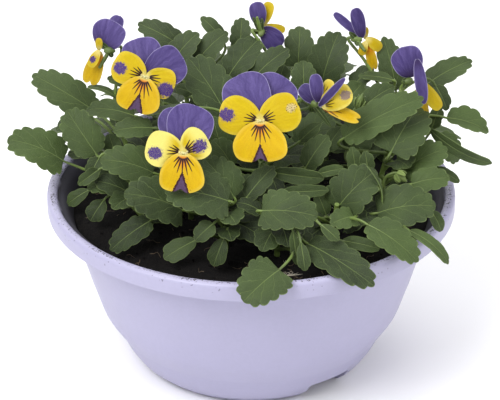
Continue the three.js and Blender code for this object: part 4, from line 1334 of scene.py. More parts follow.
# Stem, outline, base and tip on the sheet, width, teeth a side, turn about the midrib, arch and fold.
LEAVES: list[LeafRow] = [
    # left side
    ("left", EGG, (96, 112, 22), (35, 76, 30), 19, 5, -10, 3, 8),
    ("left", EGG, (96, 154, -4), (68, 112, 10), 20, 5, -15, 2, 8),
    ("left", EGG, (134, 116, -2), (88, 110, 2), 14, 4, 10, 3, 8),
    ("left", ROUND, (63, 161, -2), (10, 140, -2), 26, 5, 15, 3, 6),
    ("left", EGG, (93, 151, 12), (69, 154, 14), 9, 3, 0, 1, 5),
    ("left_front", EGG, (99, 158, -18), (90, 177, -24), 9, 3, 0, 1, 14),
    ("left_front", ROUND, (124, 184, -20), (89, 188, -24), 13, 4, 10, 2, 5),
    ("left_front", SPOON, (89, 190, -8), (68, 204, -10), 8.5, 3, 0, 1, 4),
    ("left_front", SPOON, (104, 200, -24), (91, 220, -30), 11, 3, 0, 1, 4),
    ("left_front", EGG, (150, 221, -52), (112, 249, -60), 14, 5, 0, 2, 6),
    # centre left
    ("mid_left", ROUND, (153, 173, -32), (103, 160, -34), 21, 5, 0, 4, 8),
    ("mid_left", ROUND, (182, 210, -46), (127, 194, -52), 25, 5, 0, 4, 8),
    ("mid_left", EGG, (152, 128, -16), (115, 131, -18), 12.5, 4, 0, 2, 6),
    ("centre", STRAP, (194, 108, -14), (148, 115, -16), 9, 4, 40, 2, 8),
    # behind the left blooms
    ("left_back", EGG, (184, 48, 50), (140, 24, 56), 14, 5, -10, 3, 6),
    ("left_back", EGG, (172, 64, 42), (197, 34, 48), 15, 4, 0, 3, 8),
    ("left_back", EGG, (222, 40, 56), (202, 18, 60), 9, 3, 0, 2, 6),
    ("left_back", EGG, (197, 62, 44), (226, 33, 50), 14, 4, 0, 3, 8),
    ("centre", EGG, (226, 114, -4), (190, 60, 16), 24, 5, 0, 4, 8),
    ("centre", EGG, (222, 152, -26), (212, 118, -20), 17, 4, 0, 2, 5),
    ("centre", EGG, (232, 166, -32), (214, 141, -30), 15, 4, 0, 2, 5),
    # behind the middle blooms
    ("centre_back", ROUND, (240, 48, 58), (242, 19, 66), 12, 4, 0, 2, 5),
    ("centre_back", EGG, (228, 77, 24), (258, 40, 34), 17, 5, 0, 3, 8),
    ("centre_back", EGG, (252, 80, 20), (287, 50, 26), 14, 5, 0, 3, 8),
    ("centre_back", EGG, (278, 85, 22), (284, 66, 28), 11, 3, 0, 1, 5),
    ("centre_back", ROUND, (298, 66, 44), (300, 28, 54), 17, 4, 0, 3, 6),
    ("centre_back", EGG, (304, 92, 14), (303, 62, 22), 14, 4, 0, 2, 6),
    ("centre_back", EGG, (322, 82, 26), (338, 34, 34), 21, 5, 0, 4, 10),
    # right back
    ("right_back", EGG, (396, 90, 28), (384, 39, 36), 15, 5, 0, 3, 8),
    ("right_back", EGG, (352, 87, 24), (372, 68, 28), 11, 3, 0, 1, 5),
    ("right_back", EGG, (362, 108, 4), (393, 87, 8), 13, 4, 0, 2, 6),
    ("right_back", EGG, (423, 87, 26), (470, 61, 36), 13.5, 5, 0, 3, 8),
    ("right_back", EGG, (447, 118, 10), (487, 131, 10), 17, 4, -20, 2, 20),
    # right
    ("right", EGG, (344, 138, -20), (420, 99, -14), 19, 6, 0, 4, 8),
    ("right", ROUND, (391, 152, -28), (418, 108, -2), 26, 5, 0, 4, 6),
    ("right", STRAP, (431, 130, -8), (491, 163, -12), 8, 5, 60, 5, 10),
    ("right", EGG, (438, 136, -2), (458, 160, -2), 14, 4, 0, 2, 5),
    ("right", EGG, (398, 173, -22), (445, 149, -18), 19, 5, 0, 3, 6),
    ("right", EGG, (412, 184, -36), (448, 178, -36), 14, 4, 0, 2, 6),
    # right front
    ("right_front", ROUND, (378, 213, -62), (433, 206, -64), 24, 5, 0, 4, 8),
    ("front_right", EGG, (368, 225, -78), (416, 260, -92), 18, 5, -10, 3, 12),
    ("right_front", STRAP, (410, 231, -76), (448, 263, -82), 8.5, 5, -20, 3, 10),
    ("right_front", STRAP, (431, 211, -58), (441, 231, -62), 7, 3, 0, 2, 8),
    ("right_front", EGG, (368, 171, -42), (365, 152, -40), 8, 3, 0, 1, 5),
    # front right
    ("front_right", ROUND, (337, 209, -56), (374, 172, -50), 24, 5, 0, 4, 8),
    ("front_right", ROUND, (354, 217, -66), (332, 224, -76), 13, 4, 0, 2, 6),
    ("front_right", EGG, (308, 244, -80), (371, 284, -110), 19, 5, 0, 3, 10),
    ("front_right", EGG, (326, 215, -54), (317, 193, -50), 8, 3, 0, 1, 5),
    ("front", STRAP, (283, 192, -52), (328, 190, -54), 7, 4, 30, 2, 6),
    # front
    ("front", ROUND, (262, 211, -74), (315, 216, -80), 23, 5, 0, 3, 6),
    ("front", STRAP, (293, 232, -86), (297, 264, -90), 5.5, 3, 0, 1, 5),
    ("front", SPOON, (301, 243, -91), (305, 270, -99), 7, 3, 0, 1, 5),
    ("front", ROUND, (279, 270, -108), (245, 300, -124), 24, 5, 0, 2, 6),
    ("front", EGG, (247, 197, -54), (273, 168, -46), 12, 4, 0, 2, 6),
    ("centre", EGG, (306, 167, -36), (327, 137, -30), 13, 4, 0, 2, 6),
    ("centre", STRAP, (274, 172, -46), (323, 178, -48), 9, 4, 40, 2, 14),
    ("centre", EGG, (326, 150, -18), (341, 128, -12), 10, 3, 0, 1, 5),
    # front left
    ("front_left", ROUND, (228, 201, -64), (168, 190, -66), 25, 6, 0, 3, 6),
    ("front_left", EGG, (234, 197, -58), (206, 161, -50), 20, 5, 0, 3, 8),
    ("front_left", EGG, (213, 224, -72), (196, 240, -76), 10, 3, 0, 1, 5),
    ("front_left", SPOON, (196, 240, -66), (165, 258, -72), 12, 3, 0, 1, 5),
    ("front_left", SPOON, (224, 238, -72), (214, 265, -78), 10, 3, 0, 1, 5),
    # small leaves between the others
    ("left", EGG, (76, 119, 24), (57, 130, 26), 8, 3, 0, 1, 5),
    ("left", EGG, (124, 84, 15), (108, 78, 16), 6, 3, 0, 1, 5),
    ("left", STRAP, (117, 98, 12), (88, 87, 12), 6, 3, 30, 2, 10),
    ("left_front", EGG, (98, 170, -24), (79, 184, -28), 7, 3, -20, 1, 16),
    ("mid_left", EGG, (168, 126, -8), (151, 128, -8), 8, 3, 0, 1, 4),
    ("left_back", EGG, (192, 93, 16), (176, 88, 18), 8, 3, 0, 1, 4),
    ("right_back", EGG, (392, 80, 18), (360, 76, 20), 8, 3, 20, 1, 5),
    ("right_back", EGG, (432, 128, 10), (440, 107, 14), 8, 3, 0, 1, 5),
    ("right_back", EGG, (436, 86, 20), (447, 109, 18), 9, 3, 0, 1, 5),
    ("right", EGG, (454, 150, 4), (468, 158, 4), 7, 3, 0, 1, 5),
    ("right", STRAP, (436, 168, -6), (459, 182, -8), 6, 3, 0, 1, 5),
    ("right_front", STRAP, (383, 207, -60), (367, 166, -52), 4, 3, 60, 3, 5),
    ("front_right", STRAP, (343, 241, -76), (379, 249, -82), 8, 3, 0, 1, 5),
    ("front_right", SPOON, (321, 225, -84), (338, 240, -90), 7, 3, 0, 1, 5),
    ("front_right", EGG, (356, 173, -36), (352, 148, -32), 8, 3, 0, 1, 5),
    ("centre", STRAP, (318, 174, -42), (343, 168, -44), 6, 3, 20, 1, 6),
    ("centre", EGG, (300, 141, -26), (320, 124, -24), 7.5, 3, 0, 1, 5),
    ("mid_left", EGG, (114, 151, 4), (109, 135, 10), 10, 3, 0, 1, 4),
    # deep in the middle
    ("centre", EGG, (252, 152, 0), (225, 128, 6), 20, 4, 0, 3, 6),
    ("centre", EGG, (262, 162, -8), (292, 142, -4), 18, 4, 0, 3, 6),
    ("centre", EGG, (300, 150, 4), (330, 116, 12), 20, 4, 0, 3, 6),
    ("right", EGG, (348, 150, 10), (374, 126, 16), 18, 4, 0, 3, 6),
    ("left_back", EGG, (210, 132, 8), (184, 106, 14), 18, 4, 0, 3, 6),
    ("mid_left", EGG, (176, 156, 0), (148, 132, 8), 18, 4, 0, 3, 6),
    ("right_back", EGG, (345, 106, 16), (362, 84, 22), 14, 3, 0, 2, 6),
]

RingRow = tuple[tuple[str, str, str], int, float, float, Pair, Pair, float, int]

# Rings of leaves at the back: stems, count, first and last bearing, base and tip as radius and height, width
# and teeth.
BACK_RINGS: list[RingRow] = [
    (("back_right", "back", "back_left"), 8, 28, 152, (86, 121), (130, 109), 22, 5),
    (("back_right", "back", "back_left"), 6, 36, 144, (66, 138), (101, 133), 21, 5),
    (("right_back", "centre_back", "left_back"), 5, 50, 130, (60, 147), (90, 149), 19, 4),
    (("right_back", "centre_back", "left_back"), 4, 46, 140, (36, 122), (64, 126), 20, 4),
]

OpenRow = tuple[Hue, Kind, float, float, float, float, float, float, float]
SeenRow = tuple[Hue, Kind, Spot, Spot, float, float, float, float]

# Petals round a throat: colour, outline, angle, length, width, tilt, arch, fold and setback.
OPEN: list[OpenRow] = [
    (VIOLET, PETAL, 116, 27, 26, -5, 1.5, 2, 0),
    (VIOLET, PETAL, 62, 27, 25, -10, 1.5, -5, 1.15),
    (YELLOW, PETAL, 166, 22, 21, 2, 1, -4, 1.1),
    (YELLOW, PETAL, 20, 22, 21, 2, 1, -4, 1.1),
    (YELLOW, LIP, 270, 22, 29, 7, 1.4, 3, 0),
]
OPEN_RIGHT_FIRST: list[OpenRow] = [
    (VIOLET, PETAL, 42, 23, 22, -5, 1.5, 2, 0),
    (VIOLET, PETAL, 116, 22, 22, -10, 1.5, -5, 1.15),
    (YELLOW, PETAL, 170, 19, 18, 2, 1, -4, 1.1),
    (YELLOW, PETAL, -4, 17, 17, 2, 1, -4, 1.1),
    (YELLOW, LIP, 270, 20, 24, 7, 1.4, 3, 0),
]
NARROW: list[OpenRow] = [
    (VIOLET, PETAL, 74, 26, 25, -5, 1.5, 2, 0),
    (VIOLET, PETAL, 102, 25, 18, -10, 1.5, -5, 1.15),
    (YELLOW, PETAL, 168, 20, 19, 2, 1, -4, 1.1),
    (YELLOW, PETAL, 34, 15, 18, 2, 1, -4, 1.1),
    (YELLOW, LIP, 264, 21, 24, 7, 1.4, 3, 0),
]


@dataclass
class BloomPlan:
    """Where one bloom stands, where it faces, and its petals and markings.

    Spots are centres on the sheet with a size in millimetres, one for each yellow lateral, and wedge is the
    place on the sheet where the lip's dark wedge starts.
    """

    stem: str
    throat: Spot
    facing: Pair
    roll: float = 0.0
    petals: list[OpenRow] = field(default_factory=list)
    seen: list[SeenRow] = field(default_factory=list)
    crook: Spot = ORIGIN
    spur: Spot = ORIGIN
    sepals: list[Spot] = field(default_factory=list)
    spots: list[tuple[float, float, float, float]] = field(default_factory=list)
    wedge: Pair = (0.0, 0.0)
    pale: float = 0.15
    near: bool = True
    whiskers: float = 1.0


BLOOMS: dict[str, BloomPlan] = {
    "left": BloomPlan(
        "left", (100, 49, 12), (-98, 5), crook=(121, 47, 20), spur=(99, 68, 10),
        sepals=[(112, 57, 12), (97, 40, 12)],
        seen=[
            (VIOLET, PETAL, (103, 49, 13), (114, 21, 15), 18.5, 0, 2, 4),
            (VIOLET, PETAL, (104, 46, 16), (120, 16, 22), 9, 0, 1, 0),
            (YELLOW, PETAL, (99, 50, 11), (99, 38, 9), 4, 0, 0.5, 0),
            (YELLOW, PETAL, (99, 50, 10), (90, 67, 7), 5.5, 0, 1, 0),
            (YELLOW, LIP, (100, 51, 12), (89, 84, 12), 10.5, 0, 1, 0),
        ],
        spots=[(0, 0, 0, 0), (93, 59, 1.3, 1)], near=False,
    ),
    "upper_left": BloomPlan(
        "mid_left", (145, 77, -10), (-4, 24), -14, petals=OPEN_RIGHT_FIRST,
        spots=[(120, 68, 2.5, 1), (166, 90, 3.0, 1)], wedge=(139, 92),
    ),
    "front": BloomPlan(
        "front_left", (183, 153, -62), (8, 24), -2, petals=NARROW,
        spots=[(155, 153, 2.5, 1), (199.5, 146, 2.7, 1)], wedge=(182, 171), pale=0.75,
    ),
    "centre": BloomPlan(
        "centre", (260, 121, -46), (-1, 24), 1, petals=OPEN,
        spots=[(227, 115, 2.7, 1), (291, 108, 2.0, 0.4)], wedge=(262, 143),
    ),
    "half_open": BloomPlan(
        "centre", (321, 104, -25), (55, 12), crook=(308, 108, -20), spur=(309, 98, -18),
        sepals=[(331, 127, -22), (311, 112, -18), (314, 92, -18)],
        seen=[
            (VIOLET, PETAL, (317, 103, -22), (301, 86, -18), 8.8, 0, 1.5, 8),
            (VIOLET, PETAL, (318, 102, -24), (315, 74, -20), 7.5, 0, 1.5, 8),
            (VIOLET, STRAP, (319, 106, -25), (345, 78, -33), 4.2, 0, 1, 8),
            (YELLOW, PETAL, (321, 101, -24), (331, 80, -18), 6.5, 0, 1, 0),
            (YELLOW, PETAL, (322, 106, -26), (351, 90, -29), 13.5, 0, 2, 6),
            (YELLOW, LIP, (322, 106, -25), (360, 120, -32), 7, 0, 2, 6),
        ],
        spots=[(0, 0, 0, 0), (346, 95, 2.0, 0.7)], pale=0.45, near=False, whiskers=0.8,
    ),
    "top": BloomPlan(
        "centre_back", (262, 26, 44), (172, 20), crook=(252, 30, 36), spur=(257, 17, 37),
        sepals=[(251, 31, 39), (253, 17, 39), (262, 18, 40)],
        seen=[
            (VIOLET, PETAL, (260, 26, 42), (256, 2, 44), 9.6, 0, 1, 0),
            (VIOLET, PETAL, (262, 28, 42), (280, 47, 40), 12.5, 0, 1.5, 0),
            (YELLOW, PETAL, (263, 25, 44), (270, 2, 47), 7, 0, 1, 0),
            (YELLOW, PETAL, (263, 26, 44.4), (285, 30, 48), 5, 0, 1, 0),
            (YELLOW, LIP, (262, 25, 44.6), (258, 8, 52), 10, 0, 1, 0),
        ],
        near=False,
    ),
    "top_right": BloomPlan(
        "right_back", (366, 38, 30), (96, 5), crook=(348, 38, 30), spur=(365, 51, 22),
        sepals=[(349, 32, 28), (357, 46, 25)],
        seen=[
            (VIOLET, PETAL, (361, 37, 32), (334, 13, 36), 5, 0, 1, 0),
            (VIOLET, PETAL, (362, 38, 29), (355, 8, 28), 8, 0, 1, 6),
            (YELLOW, PETAL, (365, 39, 31), (366, 27, 33), 3.5, 0, 0.5, 0),
            (YELLOW, PETAL, (366, 38, 29), (381, 49, 30), 6.5, 0, 1, 0),
            (YELLOW, PETAL, (366, 41, 28), (361, 55, 26), 5, 0, 1, 0),
            (YELLOW, LIP, (367, 40, 29), (374, 70, 27), 6, 0, 1, 0),
        ],
        near=False,
    ),
    "right": BloomPlan(
        "right", (417, 80, 0), (98, 5), crook=(401, 88, 2), spur=(405, 74, 4),
        sepals=[(402, 80, -2), (404, 88, -2)],
        seen=[
            (VIOLET, PETAL, (412, 77, 1), (403, 47, 4), 17.5, 0, 2, 4),
            (VIOLET, STRAP, (417, 59, -3), (424, 104, -4.5), 6.8, 0, 1, 10),
            (YELLOW, PETAL, (418, 80, 1), (440, 109, 2), 8, 0, 1, 0),
            (YELLOW, LIP, (418, 82, 1), (425, 122, 4), 6.5, 0, 1, 0),
            (YELLOW, PETAL, (418, 79, 2), (421, 68, 8), 4, 0, 1, 0),
        ],
        near=False,
    ),
}

# Buds: stem, the way of the stalk on the sheet, the bud's base and tip, and its radius.
BUDS: list[tuple[str, list[Spot], Spot, Spot, float]] = [
    ("right", [(382, 190, -30), (386, 177, -31)], (396, 173, -32), (407, 182, -34), 2.3),
    ("right_back", [(352, 116, -2), (356, 108, -2)], (357, 108, -2), (363, 93, 0), 2.0),
]


# ---- Bowl and soil ---------------------------------------------------------------------------------------


@dataclass
class Bowl:
    """The planting bowl: wall, folded rim, recessed base, drainage notches and holes.

    Profiles are points of radius and height in millimetres. inner_reach is how far outside the inner profile
    a point may lie and still count as inside, and a hole's cutter is cut_depth deep about cut_height.
    """

    outer: Profile = (
        (61.5, 0), (63.6, 0.9), (69.3, 6), (73.3, 12), (76.2, 18), (77.6, 21), (78.6, 22.6), (80.2, 24.8),
        (82.3, 28), (84.3, 31.2), (85.8, 34), (86.8, 36.6), (88.2, 41), (90.3, 48), (92.3, 54), (94.2, 61),
        (96.6, 69), (98.8, 77), (101.1, 85), (103.2, 92), (104.2, 94.7),
    )
    rim: Profile = (
        (105.2, 95.6), (106.4, 95.8), (112.4, 94.5), (113.4, 94.3), (114.4, 94.4), (114.9, 94.8), (115, 95.4),
        (115, 98.4), (114.95, 101.6), (114.75, 102.7), (114.2, 103.5), (113.4, 103.9), (112.3, 104),
        (111, 103.9), (109.9, 103.5), (109.2, 102.9), (108.9, 102.1),
    )
    inner: Profile = (
        (108.4, 101.4), (106.6, 100.2), (104.6, 98.6), (103, 96), (101, 91.5), (93.8, 67.2), (86.5, 43),
        (79, 28.8), (72.4, 16.6), (70.6, 15.4), (0, 15.4),
    )
    foot: Profile = ((0, 13), (66.6, 13), (67.6, 12.4), (67.4, 11.4), (58.2, 0.8), (57.5, 0))
    sides: int = 128
    first_notch: float = -52.0
    notch_width: float = 28.0
    notch_height: float = 12.0
    notch_corner: float = 2.4
    holes: int = 5
    hole_radius: float = 4.5
    hole_circle: float = 34.0
    hole_turn: float = 18.0
    inner_reach: float = 0.6
    cut_depth: float = 15.0
    cut_height: float = 15.4

    def build(self, finish: LilacPlastic) -> None:
        """Makes the bowl.

        Args:
            finish: The finish of the bowl.
        """
        piece = spun("bowl_shell", [*self.foot, *self.outer, *self.rim, *self.inner], self.sides)
        for turn in (self.first_notch, self.first_notch + 180.0):
            self.cut(piece, self.notch_tool(turn))
        for i in range(self.holes):
            turn = i * 360.0 / self.holes + self.hole_turn
            self.cut(piece, self.hole_tool(bearing(turn) * self.hole_circle))
        sewn(piece, 1e-6)
        smoothed(piece, 32)
        places = points_of(piece) / MM
        radii, heights = zip(*self.inner[::-1])
        limit = np.interp(places[:, 2], heights, radii) + self.inner_reach
        inside = (np.hypot(places[:, 0], places[:, 1]) < limit) & (places[:, 2] > heights[0] - 0.1)
        write(piece, "inner", inside.astype(float), "FLOAT")
        dressed(piece, finish.material())
        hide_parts("bowl")
        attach(piece, "root")

    def cut(self, piece: Piece, tool: Piece) -> None:
        """Cuts a tool out of a piece and takes the tool away."""
        finished_with(piece, "BOOLEAN", object=tool, operation="DIFFERENCE", solver="MANIFOLD")
        bpy.data.objects.remove(tool)

    def notch_tool(self, turn: float) -> Piece:
        """Makes the block with rounded upper corners that cuts the notch at a bearing.

        Args:
            turn: The bearing.

        Returns:
            The block.
        """
        bpy.ops.object.select_all(action="DESELECT")
        bpy.ops.mesh.primitive_cube_add(size=1)
        tool = named("notch_tool")
        foot = self.outer[0][0]
        size = np.array((foot, self.notch_width, self.notch_height * 2))
        move_points(tool, (points_of(tool) * size + np.array((foot, 0, 0))) * MM)
        finished_with(tool, "BEVEL", width=self.notch_corner * MM, segments=4, limit_method="NONE")
        spin = np.array(Matrix.Rotation(math.radians(turn), 3, "Z"))
        move_points(tool, points_of(tool) @ spin.T)
        return tool

    def hole_tool(self, place: Vector) -> Piece:
        """Makes the round cutter of a drainage hole.

        Args:
            place: The middle of the hole, in millimetres.

        Returns:
            The cutter.
        """
        bpy.ops.object.select_all(action="DESELECT")
        radius, depth = self.hole_radius * MM, self.cut_depth * MM
        bpy.ops.mesh.primitive_cylinder_add(vertices=32, radius=radius, depth=depth)
        tool = named("hole_tool")
        move_points(tool, points_of(tool) + np.array((place.x, place.y, self.cut_height)) * MM)
        return tool


@dataclass
class Soil:
    """The peat in the bowl: a lumpy surface with crumbs and fibres on it.

    body is the profile from the middle of the floor to the edge of the surface, as radius and height.
    """

    level: float = 90.0
    relief: float = 1.6
    radius: float = 98.0
    body: Profile = ((0, 15.7), (70.0, 15.7), (86.0, 43.0), (100.4, 91.0), (99.6, 89.5))
    sides: int = 120
    ring: float = 2.0
    crumbs: int = 420
    fibres: int = 150
    crumb_size: Pair = (0.5, 1.9)
    fibre_length: Pair = (2.0, 7.0)
    fibre_radii: Pair = (0.16, 0.06)
    seed: int = 11

    def top(self, x: float, y: float) -> float:
        """Gives the height of the solids' surface over a place."""
        lumps = math.sin(x * 0.11 + 1.3) * math.cos(y * 0.13) + 0.6 * math.sin(x * 0.05 - y * 0.07)
        return self.level + self.relief * lumps - 1.2 * float(smoothstep(84, 96, np.array(math.hypot(x, y))))

    def surface(self, x: float, y: float) -> float:
        """Gives the height of the crumbly surface over a place."""
        coarse = noise.fractal(Vector((x, y, 0.0)) * 0.12, 1.0, 2.0, 4)
        return self.top(x, y) + 1.1 * coarse + 0.35 * noise.noise(Vector((x, y, 3.0)) * 0.9)

    def build(self, finish: Peat, fibre: PaleThread) -> None:
        """Makes the soil, its crumbs and its fibres.

        Args:
            finish: The finish of the soil and its crumbs.
            fibre: The finish of the fibres.
        """
        rings = int(self.radius / self.ring)
        top = [(self.radius * (rings - i) / rings, self.level) for i in range(rings + 1)]
        piece = spun("soil_body", [*self.body, *top], self.sides)
        places = points_of(piece) / MM
        for place in places:
            if place[2] > self.level - 0.2:
                place[2] = self.surface(place[0], place[1])
        move_points(piece, places * MM)
        smoothed(piece, 60)
        dressed(piece, finish.material())
        draw = random.Random(self.seed)
        crumbs = self.scattered(draw)
        dressed(crumbs, piece.data.materials[0])
        fibres = strands_mesh("soil_fibres", [self.fibre(draw) for _ in range(self.fibres)], 0)
        dressed(fibres, fibre.material())
        for made in (piece, crumbs, fibres):
            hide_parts("soil")
            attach(made, "root")

    def spot(self, draw: random.Random) -> Pair:
        """Draws a place on the surface."""
        out = bearing(draw.uniform(0, 360)) * (self.radius - 2.0) * math.sqrt(draw.random())
        return out.x, out.y

    def scattered(self, draw: random.Random) -> Piece:
        """Makes the crumbs that lie on the surface.

        Args:
            draw: Random numbers.

        Returns:
            The crumbs as one piece.
        """
        bpy.ops.object.select_all(action="DESELECT")
        bpy.ops.mesh.primitive_ico_sphere_add(subdivisions=1, radius=1.0)
        master = named("crumb")
        shape = points_of(master)
        crumbs = []
        for _ in range(self.crumbs):
            x, y = self.spot(draw)
            size = draw.uniform(*self.crumb_size) * draw.uniform(0.5, 1.0)
            jitter = np.array([[draw.uniform(0.65, 1.3) for _ in range(3)] for _ in shape])
            spin = np.array(Quaternion([draw.uniform(-1, 1) for _ in range(4)]).normalized().to_matrix())
            piece = copied(master)
            flat = (shape * jitter * np.array((size, size * 0.8, size * 0.6))) @ spin.T
            move_points(piece, (flat + np.array((x, y, self.surface(x, y) + size * 0.25))) * MM)
            crumbs.append(piece)
        bpy.data.objects.remove(master)
        piece = joined("soil_crumbs", crumbs)
        smoothed(piece, 40)
        return piece

    def fibre(self, draw: random.Random) -> Strand:
        """Makes one fibre that lies on the surface.

        Args:
            draw: Random numbers.

        Returns:
            The strand.
        """
        x, y = self.spot(draw)
        heading, length = draw.uniform(0, 360), draw.uniform(*self.fibre_length)
        route = []
        for i in range(4):
            place = Vector((x, y, 0.0)) + bearing(heading + draw.uniform(-25, 25)) * (length * i / 3)
            place *= min(1.0, (self.radius - 1.0) / max(place.length, 1.0))
            route.append(Vector((place.x, place.y, self.surface(place.x, place.y) + draw.uniform(0.2, 0.9))))
        return drawn_out(route, *self.fibre_radii, 6)


# ---- Blooms ----------------------------------------------------------------------------------------------


@dataclass
class Frame:
    """A bloom's throat and its directions."""

    at: Vector
    front: Vector
    right: Vector
    up: Vector

    def around(self, angle: float) -> Vector:
        """Gives the direction across the bloom at an angle from its right."""
        return self.right * math.cos(math.radians(angle)) + self.up * math.sin(math.radians(angle))

    def ahead(self, distance: float) -> Vector:
        """Gives the point on the axis at a distance in front of the throat."""
        return self.at + self.front * distance

    def strand(self, form: Profile) -> Strand:
        """Makes a strand along the axis through points of distance and radius."""
        return Strand([self.ahead(distance) for distance, _ in form], [radius for _, radius in form])


@dataclass
class Bloom:
    """One bloom: layered petals, throat with beard and stigma, calyx, spur and stalk.

    Lengths are in millimetres. The setbacks are how far behind the throat the petals of a colour and the
    middle of the calyx stand. cup, stigma and calyx are points of distance in front of the throat and radius.
    """

    name: str
    plan: BloomPlan
    petal: float = 0.34
    violet_setback: float = 1.8
    yellow_setback: float = -0.6
    calyx_setback: float = 5.31
    cup: Profile = ((-2.6, 0.8), (-1.4, 1.15), (-0.5, 1.1), (0.0, 0.75), (0.3, 0.3))
    stigma: Profile = ((0.3, 0.4), (1.1, 0.42), (1.6, 0.65), (2.0, 0.55), (2.3, 0.2))
    calyx: Profile = ((-2.4, 1.5), (-3.4, 2.0), (-4.6, 2.2), (-6.2, 2.0), (-7.8, 1.3), (-8.6, 0.5))
    sepals: int = 5
    sepal_width: Pair = (2.8, 3.4)
    stalk_radii: Pair = (1.0, 0.85)
    spur_radii: Pair = (1.25, 0.7)
    beard: int = 24
    beard_length: Pair = (0.7, 1.3)
    beard_radii: Pair = (0.17, 0.13)

    @property
    def frame(self) -> Frame:
        """Works out the throat's place and the bloom's directions.

        Returns:
            The throat and the directions.
        """
        turn, tilt = (math.radians(angle) for angle in self.plan.facing)
        front = Vector((math.sin(turn), -math.cos(turn), 0.0)) * math.cos(tilt) + UP * math.sin(tilt)
        level = Vector((math.cos(turn), math.sin(turn), 0.0))
        right = Quaternion(front, math.radians(self.plan.roll)) @ level
        return Frame(SHEET.place(self.plan.throat), front, right, front.cross(right))

    def petals(self) -> list[tuple[Hue, Blade]]:
        """Works out the petals.

        Returns:
            A colour and a blade for each petal.
        """
        plan, frame = self.plan, self.frame
        made: list[tuple[Hue, Blade]] = []
        for colour, kind, angle, length, width, tilt, arch, fold, behind in plan.petals:
            setback = self.violet_setback if colour is VIOLET else self.yellow_setback
            base, lean = frame.ahead(-setback - behind), math.radians(tilt)
            tip = base + (frame.around(angle) * math.cos(lean) + frame.front * math.sin(lean)) * length
            made.append((colour, Blade(kind, base, tip, frame.front, width, 0, arch, fold)))
        for colour, kind, base, tip, width, turn, arch, fold in plan.seen:
            start, end = SHEET.place(base), SHEET.place(tip)
            face = Quaternion((end - start).normalized(), math.radians(turn)) @ SHEET.towards
            made.append((colour, Blade(kind, start, end, face, width, 0, arch, fold)))
        return made

    def mark(self, colour: Hue, blade: Blade, order: int, draw: random.Random) -> None:
        """Gives a petal its tone, waves and markings.

        Args:
            colour: The petal's colour.
            blade: The petal.
            order: Its number among the yellow laterals.
            draw: Random numbers.
        """
        plan = self.plan
        large = min(1.0, blade.width / 18.0)
        blade.tone, blade.ripple = draw.uniform(-0.5, 0.5), 0.9 * large * draw.uniform(0.6, 1.0)
        blade.ruffle = 0.012 * large
        blade.neck = 0.5
        if colour is VIOLET:
            return
        blade.hue = plan.pale if blade.kind is not LIP else min(plan.pale, 0.2)
        lined = plan.whiskers if plan.near or plan.whiskers < 1.0 else 0.0
        blade.mark = (99.0, 0.36, lined)
        if blade.kind is LIP and plan.near:
            blade.mark = (blade.on_plan(*plan.wedge)[1], 0.42, lined)
        if blade.kind is not LIP and order < len(plan.spots) and plan.spots[order][2] > 0:
            u, v, size, strength = plan.spots[order]
            blade.spot, blade.strength = (*blade.on_plan(u, v), size), strength

    def build(self, nets: Nets, dyes: Dyes) -> None:
        """Makes the petals and the throat, in place of the two solids of the bloom.

        Args:
            nets: The nets.
            dyes: The materials by use.
        """
        draw = random.Random(self.name)
        laid: dict[str, list[Piece]] = {"violet": [], "lateral": [], "lip": []}
        order = 0
        for colour, blade in self.petals():
            group = "violet" if colour is VIOLET else "lip" if blade.kind is LIP else "lateral"
            self.mark(colour, blade, order, draw)
            order += group == "lateral"
            laid[group].append(blade.laid(nets.fitting(blade)))
        for group, pieces in laid.items():
            piece = thickened(f"bloom_{self.name}_{group}", pieces, self.petal)
            dressed(piece, dyes[group])
            self.stand_for(piece, VIOLET if group == "violet" else YELLOW)
        if self.plan.near:
            self.throat(draw, dyes)

    def stand_for(self, piece: Piece, colour: Hue) -> None:
        """Puts a piece in place of the solid of one colour."""
        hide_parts(f"bloom_{self.name}_{colour}")
        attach(piece, "root")

    def throat(self, draw: random.Random, dyes: Dyes) -> None:
        """Makes the pale cup of the throat, the round stigma in it and the beard at its sides.

        Args:
            draw: Random numbers.
            dyes: The materials by use.
        """
        frame = self.frame
        forms = [frame.strand(self.cup), frame.strand(self.stigma)]
        hub = strands_mesh(f"bloom_{self.name}_throat", forms, 3)
        dressed(hub, dyes["throat"])
        self.stand_for(hub, YELLOW)
        hairs = []
        for side in (-1, 1):
            for _ in range(self.beard):
                out = frame.right * side * draw.uniform(0.8, 2.6) + frame.up * draw.uniform(-0.9, 1.1)
                start, forward = frame.ahead(0.6) + out, frame.front * draw.uniform(*self.beard_length)
                bend = forward - out.normalized() * draw.uniform(0.2, 0.7)
                hairs.append(drawn_out([start, start + bend * 0.6, start + bend], *self.beard_radii, 3, 0.05))
        beard = strands_mesh(f"bloom_{self.name}_beard", hairs, 0)
        dressed(beard, dyes["beard"])
        self.stand_for(beard, YELLOW)

